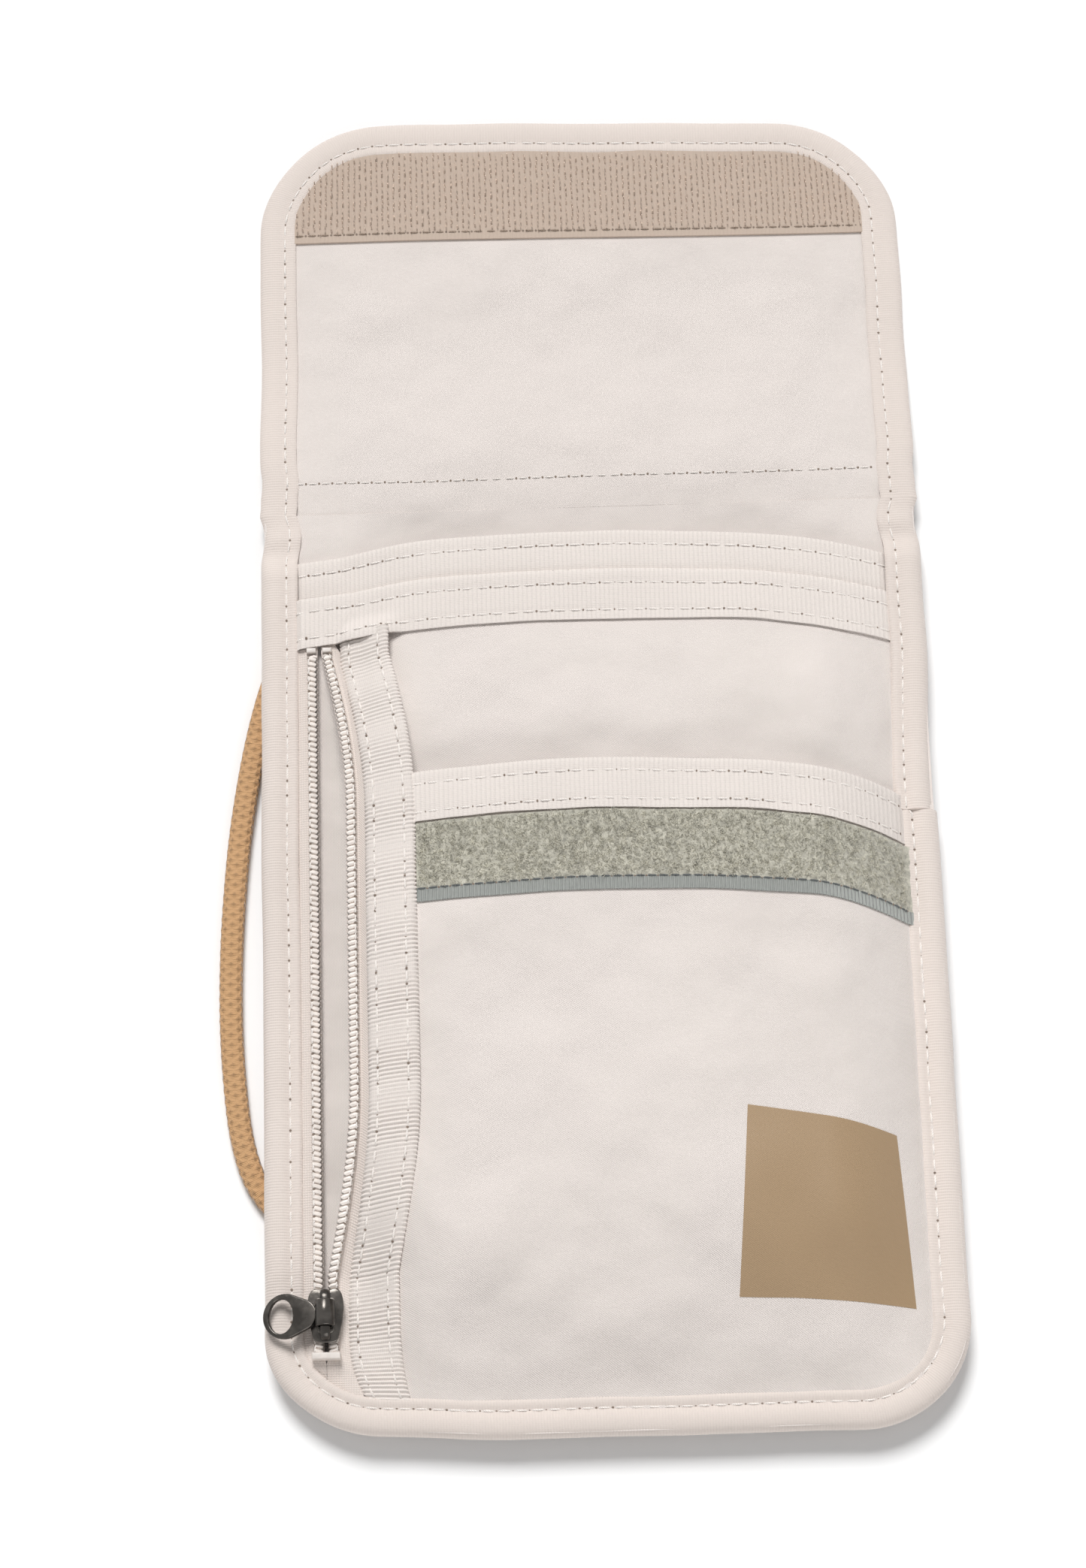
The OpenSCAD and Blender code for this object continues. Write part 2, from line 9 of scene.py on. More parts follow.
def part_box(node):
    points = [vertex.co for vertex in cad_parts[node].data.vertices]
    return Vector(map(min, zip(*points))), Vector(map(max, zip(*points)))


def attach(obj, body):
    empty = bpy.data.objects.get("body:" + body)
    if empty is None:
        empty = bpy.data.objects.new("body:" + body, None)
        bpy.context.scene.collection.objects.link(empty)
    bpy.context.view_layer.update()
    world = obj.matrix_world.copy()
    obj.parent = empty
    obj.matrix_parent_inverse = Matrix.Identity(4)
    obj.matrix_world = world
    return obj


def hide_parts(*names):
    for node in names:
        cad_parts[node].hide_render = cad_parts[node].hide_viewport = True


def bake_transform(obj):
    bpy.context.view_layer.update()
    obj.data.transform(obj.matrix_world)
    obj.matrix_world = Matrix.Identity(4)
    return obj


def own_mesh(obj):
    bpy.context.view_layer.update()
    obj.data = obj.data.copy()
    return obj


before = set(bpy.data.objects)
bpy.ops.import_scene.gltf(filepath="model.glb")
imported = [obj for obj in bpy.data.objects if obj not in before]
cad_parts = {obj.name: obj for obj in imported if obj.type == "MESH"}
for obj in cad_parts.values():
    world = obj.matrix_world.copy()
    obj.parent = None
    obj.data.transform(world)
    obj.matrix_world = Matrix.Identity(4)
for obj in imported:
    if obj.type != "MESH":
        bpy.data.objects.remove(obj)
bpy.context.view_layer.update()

MM = 0.001


def span(node):
    """Lowest and highest corner of a CAD node, in millimetres."""
    low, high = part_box(node)
    return Vector(low) / MM, Vector(high) / MM


# ---------------------------------------------------------------- sizes, from the frame
body_low, body_high = span("body_binding")
flap_low, flap_high = span("flap_binding")
HALF_W = body_high.x
Y_BOTTOM = body_low.y
Y_FOLD1 = round(body_high.y)
Y_FOLD2 = round(flap_low.y)
Y_FREE = flap_high.y
LIFT = body_low.z
BODY_T = body_high.z - body_low.z
FLAP_T = span("spine_binding")[1].z - LIFT
Y_SPLIT = (Y_FOLD1 + Y_FOLD2) / 2      # the cloths are cut here, in the middle of the spine
BODY_R = 24.0
FLAP_R = 28.0
BIND_W = 8.2
BIND_STITCH = 5.8
EDGE_IN = 1.2
FALL_L = 38.0

SHELL_T = 0.7
LINING_T = 0.4
PANEL_T = 0.5
TAPE_T = 0.75
Z_BACK = span("back_shell")[0].z
Z_BACK_LINING = span("back_lining")[0].z
Z_FOIL = span("rfid_liner")[0].z
FOIL_T = span("rfid_liner")[1].z - Z_FOIL
Z_REAR = span("rear_pocket_panel")[0].z
Z_ZIP_LINING = span("zip_pocket_lining")[0].z
Z_ZIP = span("zip_pocket_panel")[0].z
Z_FRONT = span("front_pocket_panel")[0].z
FLAP_SHELL = span("spine_shell")[0].z - LIFT
FLAP_LINING = span("spine_lining")[0].z - LIFT

# pockets, as in the CAD's cloths
REAR_GAP, SLIP_GAP, ZIP_GAP, FRONT_GAP = 4.7, 0.3, 4.7, 4.7
SIDE_RISE, BOTTOM_RISE, TOP_RISE = 22.0, 45.0, 30.0
LINING_START = 18.5
ZIP_EDGE = 18.2
EDGE_BOW = 5.5
EDGE_LIFT = 9.7
EDGE_LOW = Y_BOTTOM + 36
EDGE_HIGH = Y_FOLD1 - 28
EDGE_RUN = 40.0
FRONT_EDGE_IN = 5.0
MOUTH_DIP = 5.0
RIGHT_DIP = 2.2        # the mouths hang this much lower at their right ends
REAR_MOUTH = Y_FOLD1 - 2
ZIP_TOP = Y_FOLD1 - 11.8
FRONT_MOUTH = Y_FOLD1 - 61
TAPE_W = 11.0
SIDE_TAPE_W = 11.0
LOOP_W = 18.0
X_CORE = HALF_W - 41
X_FULL = HALF_W - EDGE_IN

# zip
slider_low, slider_high = span("zip_slider")
X_ZIP = (slider_low.x + slider_high.x) / 2
COIL_LOW = span("zip_coil_left")[0].y
COIL_HIGH = span("zip_coil_left")[1].y
COIL_Z = (span("zip_coil_left")[0].z + span("zip_coil_left")[1].z) / 2
COIL_W, COIL_H = 2.1, 1.5
COIL_OFF = 0.7
COIL_RISE = 0.92
ZIP_TAPE_T = 0.45
Z_TAPE = COIL_Z - COIL_H / 2 - 0.05 - ZIP_TAPE_T

# cord: the route's points are the CAD's own
CORD_W, CORD_T = 5.2, 3.2
COIL_AT = (0.0, -45.0)
TURN_GAP = 5.4
TURNS = 2.25
TURN_R0 = 2 * TURN_GAP * 2
ROUTE_LEFT = [(-60, 38), (-63, 34), (-67, 28), (-71, 20), (-74.5, 9), (-77.5, -5), (-80, -22),
              (-81.6, -42), (-82, -60), (-81.3, -76), (-79.4, -91), (-75.5, -101.5), (-68, -109.5),
              (-58, -114), (-47, -113.5), (-36, -108.5), (-25, -101.5), (-13, -94), (0, -90.9)]
ROUTE_RIGHT = [(0, 0.9), (14, 2.8), (28, 7.6), (40, 14.6), (50, 23), (56.5, 31), (60, 38)]

# ---------------------------------------------------------------- colours, as linear values
CLOTH = (0.765, 0.70, 0.66)
BINDING = (0.72, 0.64, 0.59)
RIBBED = (0.77, 0.705, 0.66)
THREAD = (0.93, 0.87, 0.82)
# painted shade of the needle holes
NEEDLE_HOLE_SHADE = (0.24, 0.19, 0.155)
HOOK = (0.60, 0.485, 0.40)
HOOK_THREAD = (0.33, 0.25, 0.19)
LOOP = (0.51, 0.49, 0.415)
LOOP_EDGE = (0.44, 0.46, 0.43)
LOOP_THREAD = (0.12, 0.13, 0.13)
PRINT = (0.35, 0.24, 0.14)
CORD = (0.50, 0.295, 0.145)
COIL = (0.86, 0.79, 0.735)
METAL = (0.045, 0.041, 0.037)
FOIL = (0.45, 0.46, 0.48)


# ---------------------------------------------------------------- shape functions
def clamp01(v):
    return max(0.0, min(1.0, v))


def swell(v):
    return math.sin(math.pi / 2 * clamp01(v))


def ease(v):
    v = clamp01(v)
    return v * v * (3 - 2 * v)


def mix(a, b, t):
    return a + (b - a) * t


def bump(v, centre, half):
    """1 at centre, easing to 0 at half either side."""
    return ease(1 - abs(v - centre) / half)


def body_half(y):
    r = BODY_R - EDGE_IN
    down = Y_BOTTOM + BODY_R - y
    return X_FULL - (0 if down <= 0 else r - math.sqrt(max(0.0, r * r - min(r, down) ** 2)))


def grid_x(x, y):
    if abs(x) <= X_CORE:
        return x
    return math.copysign(X_CORE + (abs(x) - X_CORE) * (body_half(y) - X_CORE) / (X_FULL - X_CORE), x)


def grid_y(x, y):
    dip = MOUTH_DIP + (RIGHT_DIP if x > 0 else 0.0)
    return y - dip * (x / HALF_W) ** 2 * clamp01((y - Y_BOTTOM - 8) / 90)


def from_bottom(y):
    return swell((y - Y_BOTTOM - 8) / BOTTOM_RISE)


def from_right(x):
    return swell((HALF_W - 8 - x) / SIDE_RISE)


def from_left(x, start):
    return swell((x + HALF_W - start) / SIDE_RISE)


def edge_share(y):
    return swell((y - EDGE_LOW) / EDGE_RUN) * swell((EDGE_HIGH - y) / EDGE_RUN)


def edge_x(y):
    return -HALF_W + ZIP_EDGE + EDGE_BOW * edge_share(y)


def rear_up(x, y):
    return REAR_GAP * from_bottom(y) * from_right(x) * from_left(x, LINING_START)


def lining_up(x, y):
    return rear_up(x, y) * (REAR_GAP + SLIP_GAP) / REAR_GAP


def zip_depth(x, y):
    m = ease((x + HALF_W - ZIP_EDGE) / SIDE_RISE)
    top = swell((ZIP_TOP - TAPE_W - y) / TOP_RISE)
    return (1 - m) * EDGE_LIFT * edge_share(y) + m * ZIP_GAP * from_bottom(y) * top


def zip_up(x, y):
    return lining_up(x, y) + from_right(x) * zip_depth(x, y)


def front_up(x, y):
    edge = from_left(x, ZIP_EDGE + FRONT_EDGE_IN)
    return zip_up(x, y) + FRONT_GAP * from_bottom(y) * from_right(x) * edge


def ripple(x, y, size, seed):
    """Smooth noise from -1 to 1, with features of about that size."""
    return noise.noise(Vector((x / size, y / size, seed)))


def free_of_edges(x, y):
    return ease((HALF_W - 9 - abs(x)) / 14) * ease((y - Y_BOTTOM - 9) / 14)


def pocket_folds(x, y):
    """Soft folds of the pockets' cloth: broad swells, and drags from the lower corners."""
    drag = 0.0
    for cx, cy, ang, reach in ((-46, -148, 52, 62), (58, -146, 128, 58), (60, -60, 172, 40)):
        a = math.radians(ang)
        along = (x - cx) * math.cos(a) + (y - cy) * math.sin(a)
        across = -(x - cx) * math.sin(a) + (y - cy) * math.cos(a)
        wave = math.sin(across / 4.6 + 0.9 * ripple(x, y, 30, 4))
        drag += 0.9 * bump(along, reach / 2, reach / 2) * wave * ease(1 - abs(across) / 20)
    broad = 1.9 * ripple(x, y, 31, 1.7) + 0.7 * ripple(x, y, 14, 5.1)
    return free_of_edges(x, y) * (broad + drag)


def fall(y):
    return LIFT * (1 - ease((y - Y_FOLD2) / FALL_L))


def base_z(y):
    """Underside of the edge binding."""
    return LIFT if y < Y_FOLD2 else fall(y)


def bind_t(y):
    return mix(BODY_T, FLAP_T, ease((y - Y_FOLD1 + 9) / 8))


def fold_creases(x, y):
    """Short creases of the cloth beside the two folds."""
    near = bump(y, Y_FOLD1 + 5, 22) * ease((abs(x) - 20) / 40)
    return near * 0.55 * math.sin(y / 2.1 + 1.4 * ripple(x, y, 16, 2.2) + x / 19)


def sewn_shape(p):
    """The sewn outline's own shape: a softer left foot, and shoulders that drop to the right."""
    x, y, z = p
    foot = bump(x, -HALF_W + 4, 52) * ease((Y_BOTTOM + 26 - y) / 26)
    shoulder = ease((abs(x) - 38) / 37) * ease((y - 120) / 38)
    lean = ease((x + 50) / 110) * ease((y - 95) / 60)
    x -= math.copysign(0.9 * shoulder, x)
    y += 2.6 * foot - 1.1 * shoulder - 2.5 * lean
    return Vector((x, y, z))


# ---------------------------------------------------------------- mesh helpers
def new_mesh(name, verts, faces, uvs=None, shaped=True):
    """An object from points in millimetres, with a UV in millimetres for each point."""
    mesh = bpy.data.meshes.new(name)
    points = [sewn_shape(v) if shaped else Vector(v) for v in verts]
    mesh.from_pydata([p * MM for p in points], [], faces)
    mesh.update()
    if uvs is not None:
        layer = mesh.uv_layers.new(name="cut")
        for loop in mesh.loops:
            layer.data[loop.index].uv = uvs[loop.vertex_index]
    for poly in mesh.polygons:
        poly.use_smooth = True
    mesh.set_sharp_from_angle(angle=math.radians(48))
    obj = bpy.data.objects.new(name, mesh)
    bpy.context.scene.collection.objects.link(obj)
    return obj


def loft_data(sections, uv_sections):
    """Points, faces and UVs of a skin over closed sections that all have as many points."""
    n = len(sections[0])
    verts = [p for s in sections for p in s]
    uvs = [q for s in uv_sections for q in s]
    faces = []
    count = len(sections)
    for k in range(count - 1):
        a, b = k * n, (k + 1) * n
        for i in range(n):
            j = (i + 1) % n
            faces.append((a + i, a + j, b + j, b + i))
    faces.append(tuple(range(n - 1, -1, -1)))
    faces.append(tuple((count - 1) * n + i for i in range(n)))
    return verts, faces, uvs


def loft(name, sections, uv_sections, shaped=True):
    return new_mesh(name, *loft_data(sections, uv_sections), shaped)


def merged(name, parts, shaped=False):
    """One object from several closed parts."""
    verts, faces, uvs = [], [], []
    for part_verts, part_faces, part_uvs in parts:
        offset = len(verts)
        verts += part_verts
        uvs += part_uvs
        faces += [tuple(i + offset for i in face) for face in part_faces]
    return new_mesh(name, verts, faces, uvs, shaped)


def plate_data(outline, holes, thick, soft, place):
    """A flat plate with holes and rounded edges: place(x, y, z) puts it where it goes."""
    curve = bpy.data.curves.new("outline", "CURVE")
    curve.dimensions = "2D"
    curve.fill_mode = "BOTH"
    curve.extrude = thick / 2 - soft
    curve.bevel_depth = soft
    curve.bevel_resolution = 2
    curve.offset = -soft
    for points in [outline] + holes:
        line = curve.splines.new("POLY")
        line.points.add(len(points) - 1)
        for at, (x, y) in zip(line.points, points):
            at.co = (x, y, 0, 1)
        line.use_cyclic_u = True
    shape = bpy.data.objects.new("outline", curve)
    mesh = bpy.data.meshes.new_from_object(shape)
    build = bmesh.new()
    build.from_mesh(mesh)
    bmesh.ops.remove_doubles(build, verts=build.verts, dist=0.002)
    build.verts.ensure_lookup_table()
    verts = [place(*v.co) for v in build.verts]
    faces = [tuple(v.index for v in face.verts) for face in build.faces]
    uvs = [(v.co.x, v.co.y) for v in build.verts]
    build.free()
    bpy.data.objects.remove(shape)
    bpy.data.curves.remove(curve)
    bpy.data.meshes.remove(mesh)
    return verts, faces, uvs


def strap_data(path, width, thick, sides=12):
    """A bar with rounded edges along a path that lies across x."""
    sections, uvs = [], []
    for k, (p, way) in enumerate(zip(path, tangents(path))):
        up = Vector((1, 0, 0)).cross(way)
        ring, cut = [], []
        for i in range(sides):
            ang = 2 * math.pi * (i + 0.5) / sides
            c, s = math.cos(ang), math.sin(ang)
            across = math.copysign(abs(c) ** 0.6, c) * width / 2
            high = math.copysign(abs(s) ** 0.6, s) * thick / 2
            ring.append(p + Vector((across, 0, 0)) + up * high)
            cut.append((k * 0.3, i * 0.4))
        sections.append(ring)
        uvs.append(cut)
    return loft_data(sections, uvs)


def tube_data(profile, steps, place):
    """A ring turned from a closed profile of (along, radius)."""
    n = len(profile)
    verts, uvs, faces = [], [], []
    for k in range(steps):
        a = 2 * math.pi * k / steps
        for along, r in profile:
            verts.append(place(r * math.cos(a), along, r * math.sin(a)))
            uvs.append((along, a * 2))
    for k in range(steps):
        b = (k + 1) % steps
        for i in range(n):
            j = (i + 1) % n
            faces.append((k * n + i, k * n + j, b * n + j, b * n + i))
    return verts, faces, uvs


def cloth_piece(name, xs_at, ys, place, thick):
    """A thin closed cloth: place(x, y) is its upper side, and its underside lies thick below."""
    sections, uvs = [], []
    for y in ys:
        xs = xs_at(y)
        over = [Vector(place(x, y)) for x in xs]
        under = [p - Vector((0, 0, thick)) for p in over]
        sections.append(under + over[::-1])
        uvs.append([(x, y) for x in xs] + [(x, y) for x in reversed(xs)])
    return grid_cloth(name, sections, uvs)


def grid_cloth(name, sections, uvs):
    """Rows of points, each an underside and a reversed upper side, closed into a thin solid."""
    n = len(sections[0])
    half = n // 2
    verts = [p for s in sections for p in s]
    flat = [q for s in uvs for q in s]
    faces = []
    for k in range(len(sections) - 1):
        a, b = k * n, (k + 1) * n
        for i in range(n):
            j = (i + 1) % n
            faces.append((a + i, a + j, b + j, b + i))
    for k, turn in ((0, 1), (len(sections) - 1, -1)):
        a = k * n
        for i in range(half - 1):
            quad = (a + i, a + n - 1 - i, a + n - 2 - i, a + i + 1)
            faces.append(quad[::turn])
    return new_mesh(name, verts, faces, flat)


def stations(a, b, step):
    n = max(1, round(abs(b - a) / step))
    return [mix(a, b, k / n) for k in range(n + 1)]


def spline(points, per_leg):
    """The CAD's own smooth line through points, with more steps."""
    pts = [Vector(p) for p in points]
    n = len(pts) - 1
    line = []
    for k in range(n):
        a, b, c, d = pts[max(0, k - 1)], pts[k], pts[k + 1], pts[min(n, k + 2)]
        for s in range(per_leg):
            t = s / per_leg
            line.append(0.5 * (2 * b + (c - a) * t + (2 * a - 5 * b + 4 * c - d) * t * t
                               + (3 * b - a - 3 * c + d) * t ** 3))
    return line + [pts[-1]]


def resample(line, step):
    """Points at even distances along a line."""
    total = sum((q - p).length for p, q in zip(line, line[1:]))
    count = max(2, round(total / step))
    gap = total / count
    out, walked, target = [line[0]], 0.0, gap
    for p, q in zip(line, line[1:]):
        leg = (q - p).length
        while walked + leg >= target - 1e-9 and len(out) < count:
            out.append(p.lerp(q, (target - walked) / leg))
            target += gap
        walked += leg
    return out + [line[-1]]


def tangents(line):
    last = len(line) - 1
    return [(line[min(last, k + 1)] - line[max(0, k - 1)]).normalized() for k in range(last + 1)]


STITCH_SIDES = 6
STITCH_RINGS = ((0.0, 0.45), (0.12, 0.85), (0.5, 1.0), (0.88, 0.85), (1.0, 0.45))


HOLE_SIDES = 8
HOLE_SHARE = 0.8      # how many of the needle's holes show


def needle_hole(at, way, side, up, verts, uvs, faces):
    """A shallow dome, painted dark as the shade inside the needle's hole, where the thread goes through."""
    first = len(verts)
    for lift, r in ((-0.25, 0.3), (0.03, 0.3), (0.08, 0.16)):
        for k in range(HOLE_SIDES):
            ang = 2 * math.pi * k / HOLE_SIDES
            verts.append(at + (way * math.cos(ang) * 0.9 + side * math.sin(ang)) * r + up * lift)
            uvs.append((0.0, 0.0))
    for r in range(2):
        for k in range(HOLE_SIDES):
            j = (k + 1) % HOLE_SIDES
            q = first + r * HOLE_SIDES
            faces.append((q + j, q + k, q + HOLE_SIDES + k, q + HOLE_SIDES + j))
    faces.append(tuple(first + k for k in range(HOLE_SIDES)))
    faces.append(tuple(first + 2 * HOLE_SIDES + k for k in range(HOLE_SIDES - 1, -1, -1)))


def stitches(name, lines, length=2.5, gap=0.75, thick=0.25, arch=0.2):
    """Sewn stitches along lines of points: each dips into the cloth at its ends."""
    verts, faces, uvs = [], [], []
    hole_verts, hole_uvs, hole_faces = [], [], []
    draw = random.Random(len(name))
    for line in lines:
        line = resample([Vector(p) for p in line], 0.5)
        steps = max(2, round(length / 0.5))
        stride = steps + max(1, round(gap / 0.5))
        for start in range(0, len(line) - steps, stride):
            a, b = line[start], line[start + steps]
            middle = line[start + steps // 2]
            way = (b - a).normalized()
            side = way.cross(Vector((0, 0, 1))).normalized()
            up = side.cross(way)
            first = len(verts)
            for t, swellness in STITCH_RINGS:
                base = a.lerp(b, t) + (middle - a.lerp(b, 0.5)) * (1 - (2 * t - 1) ** 2)
                base += up * (arch * (1 - (2 * t - 1) ** 4) - 0.05)
                for k in range(STITCH_SIDES):
                    ang = 2 * math.pi * k / STITCH_SIDES
                    verts.append(base + (side * math.cos(ang) + up * math.sin(ang) * 0.8)
                                 * thick * swellness)
                    uvs.append((t * length, k * 0.2))
            rings = len(STITCH_RINGS)
            for r in range(rings - 1):
                for k in range(STITCH_SIDES):
                    j = (k + 1) % STITCH_SIDES
                    q = first + r * STITCH_SIDES
                    faces.append((q + k, q + j, q + STITCH_SIDES + j, q + STITCH_SIDES + k))
            faces.append(tuple(first + k for k in range(STITCH_SIDES - 1, -1, -1)))
            faces.append(tuple(first + (rings - 1) * STITCH_SIDES + k for k in range(STITCH_SIDES)))
            if draw.random() < HOLE_SHARE:
                at = b + way * (stride - steps) * 0.25
                needle_hole(at, way, side, up, hole_verts, hole_uvs, hole_faces)
    threads = len(faces)
    offset = len(verts)
    faces += [tuple(i + offset for i in face) for face in hole_faces]
    obj = new_mesh(name, verts + hole_verts, faces, uvs + hole_uvs)
    for poly in obj.data.polygons[threads:]:
        poly.material_index = 1
    return obj


# ---------------------------------------------------------------- materials
class Nodes:
    """Short calls for building one material's nodes."""

    def __init__(self, name):
        self.material = bpy.data.materials.new(name)
        self.material.use_nodes = True
        self.tree = self.material.node_tree
        self.shader = self.tree.nodes["Principled BSDF"]

    def add(self, kind, **values):
        node = self.tree.nodes.new(kind)
        for key, value in values.items():
            setattr(node, key, value)
        return node

    def link(self, out, into):
        self.tree.links.new(out, into)

    def math(self, operation, a, b=None):
        node = self.add("ShaderNodeMath", operation=operation)
        for k, v in enumerate((a, b)):
            if v is None:
                continue
            if isinstance(v, (int, float)):
                node.inputs[k].default_value = v
            else:
                self.link(v, node.inputs[k])
        return node.outputs[0]

    def noise(self, scale, detail=3.0, vector=None, roughness=0.5):
        node = self.add("ShaderNodeTexNoise")
        node.inputs["Scale"].default_value = scale
        node.inputs["Detail"].default_value = detail
        node.inputs["Roughness"].default_value = roughness
        self.link(vector or self.object_coords(), node.inputs["Vector"])
        return node.outputs["Fac"]

    def object_coords(self):
        return self.add("ShaderNodeTexCoord").outputs["Object"]

    def cut(self):
        """u and v of the cloth's own cut, in millimetres."""
        uv = self.add("ShaderNodeUVMap", uv_map="cut")
        parts = self.add("ShaderNodeSeparateXYZ")
        self.link(uv.outputs[0], parts.inputs[0])
        return parts.outputs[0], parts.outputs[1]

    def wave(self, value, pitch, phase=0.0):
        """A sine from 0 to 1 along value, which is in millimetres."""
        turned = self.math("MULTIPLY_ADD", value, 2 * math.pi / pitch)
        turned.node.inputs[2].default_value = phase
        return self.math("MULTIPLY_ADD", self.math("SINE", turned), 0.5)

    def remap(self, value, low, high, to_low, to_high):
        node = self.add("ShaderNodeMapRange")
        self.link(value, node.inputs["Value"])
        for key, v in (("From Min", low), ("From Max", high), ("To Min", to_low), ("To Max", to_high)):
            node.inputs[key].default_value = v
        return node.outputs["Result"]

    def blend(self, fac, a, b):
        node = self.add("ShaderNodeMix", data_type="RGBA")
        for socket, v in ((node.inputs[0], fac), (node.inputs[6], a), (node.inputs[7], b)):
            if isinstance(v, tuple):
                socket.default_value = (*v, 1)
            elif isinstance(v, (int, float)):
                socket.default_value = v
            else:
                self.link(v, socket)
        return node.outputs[2]

    def colour(self, value):
        self.link(value, self.shader.inputs["Base Color"])

    def roughness(self, value):
        self.link(value, self.shader.inputs["Roughness"])

    def relief(self, height, depth, strength=1.0):
        """Bump of that depth in millimetres, from a height of 0 to 1."""
        node = self.add("ShaderNodeBump")
        node.inputs["Distance"].default_value = depth * MM
        node.inputs["Strength"].default_value = strength
        self.link(height, node.inputs["Height"])
        self.link(node.outputs[0], self.shader.inputs["Normal"])

    def finish(self, **sockets):
        for key, value in sockets.items():
            self.shader.inputs[key.replace("_", " ")].default_value = value
        return self.material


def scaled(colour, k):
    return tuple(c * k for c in colour)


def centred(nodes, out):
    """Shifts a wave() by a half, so that it runs from 0 to 1."""
    return nodes.math("ADD", out, 0.5)


CREASE_DEPTH = 4.5      # mm, of the soft creases in the cloth


def woven(name, colour, kind, pitch, depth, dark=0.86, sheen=0.25, rough=0.78, fold_shade=0.04):
    """A cloth. kind is twill, rib (ribs across the length u), ribv (across v) or plain."""
    n = Nodes(name)
    u, v = n.cut()
    if kind == "twill":
        lines = centred(n, n.wave(n.math("ADD", u, n.math("MULTIPLY", v, 1.4)), pitch))
        threads = centred(n, n.wave(n.math("SUBTRACT", u, n.math("MULTIPLY", v, 0.7)), pitch * 0.62))
        height = n.math("ADD", n.math("MULTIPLY", lines, 0.7), n.math("MULTIPLY", threads, 0.3))
    elif kind == "plain":
        height = n.math("MULTIPLY", centred(n, n.wave(u, pitch)), centred(n, n.wave(v, pitch)))
    else:
        way, side = (u, v) if kind == "rib" else (v, u)
        ribs = n.math("POWER", centred(n, n.wave(way, pitch)), 0.6)
        threads = centred(n, n.wave(side, 0.42))
        height = n.math("ADD", n.math("MULTIPLY", ribs, 0.86), n.math("MULTIPLY", threads, 0.14))
    fuzz = n.noise(2400.0, 4.0)
    broad = n.noise(38.0, 3.0)
    height = n.math("ADD", n.math("MULTIPLY", height, 0.85), n.math("MULTIPLY", fuzz, 0.3))
    # painted shade: the weave's low parts are darkened by the dark factor, as the shade in its valleys
    relief_shade = n.blend(n.remap(height, 0.15, 0.95, 0.0, 1.0), scaled(colour, dark), colour)
    # painted shade: where the broad noise is low, the colour is darkened towards 0.8 of itself, standing in
    # for the shade of soft folds
    shade = n.remap(broad, 0.3, 0.7, 0.0, 1.0)
    n.colour(n.blend(shade, n.blend(fold_shade * 2, relief_shade, scaled(colour, 0.8)), relief_shade))
    n.roughness(n.remap(fuzz, 0.2, 0.8, rough - 0.06, rough + 0.08))
    if kind == "twill":
        height = n.math("ADD", height, n.math("MULTIPLY", n.noise(34.0, 2.5), CREASE_DEPTH / depth))
    n.relief(height, depth)
    return n.finish(Sheen_Weight=sheen, Sheen_Roughness=0.45, Specular_IOR_Level=0.3)


def loop_material():
    n = Nodes("loop_pile")
    u, v = n.cut()
    edge = n.math("LESS_THAN", v, 2.9)
    clumps = n.noise(900.0, 6.0, roughness=0.7)
    patches = n.noise(190.0, 4.0)
    # painted light and shade: the pile is darkened where its clumps lie low and lightened where they stand
    # high, by the same noise that makes its bump
    pile = n.blend(n.remap(clumps, 0.35, 0.68, 0.0, 1.0), scaled(LOOP, 0.55), scaled(LOOP, 1.35))
    pile = n.blend(n.remap(patches, 0.35, 0.65, 0.0, 0.35), pile, scaled(LOOP, 1.15))
    ribs = centred(n, n.wave(u, 0.8))
    # painted shade: the selvage's rib valleys are darkened to 0.8 of its colour
    n.colour(n.blend(edge, pile, n.blend(ribs, scaled(LOOP_EDGE, 0.8), LOOP_EDGE)))
    n.relief(n.math("ADD", n.math("MULTIPLY", clumps, 0.8), n.math("MULTIPLY", ribs, edge)), 0.5)
    return n.finish(Roughness=0.92, Sheen_Weight=0.35, Sheen_Roughness=0.5, Specular_IOR_Level=0.2)


def fibre_material(name, colour, shine=0.3):
    n = Nodes(name)
    spread = n.noise(700.0, 2.0)
    n.colour(n.blend(n.remap(spread, 0.3, 0.7, 0.0, 1.0), scaled(colour, 0.72), scaled(colour, 1.25)))
    return n.finish(Roughness=0.55, Specular_IOR_Level=shine, Sheen_Weight=0.1)


def thread_material(name, colour):
    n = Nodes(name)
    u, v = n.cut()
    ply = centred(n, n.wave(n.math("ADD", u, v), 0.5))
    # painted shade: the thread's twist grooves are darkened to 0.78 of its colour, by the wave that makes its
    # bump
    n.colour(n.blend(ply, scaled(colour, 0.78), colour))
    n.relief(ply, 0.08)
    return n.finish(Roughness=0.6, Specular_IOR_Level=0.35, Sheen_Weight=0.2)


def print_material():
    n = Nodes("bare_print")
    u, v = n.cut()
    weave = centred(n, n.wave(n.math("ADD", u, n.math("MULTIPLY", v, 1.4)), 0.6))
    grain = n.noise(1500.0, 4.0)
    height = n.math("ADD", n.math("MULTIPLY", weave, 0.6), n.math("MULTIPLY", grain, 0.4))
    # painted shade: the print is darkened to 0.9 in the weave's low parts, by the height that makes its bump
    n.colour(n.blend(n.remap(height, 0.3, 0.8, 0.0, 1.0), scaled(PRINT, 0.9), scaled(PRINT, 1.04)))
    n.roughness(n.remap(grain, 0.3, 0.7, 0.5, 0.62))
    n.relief(height, 0.05)
    return n.finish(Specular_IOR_Level=0.4)


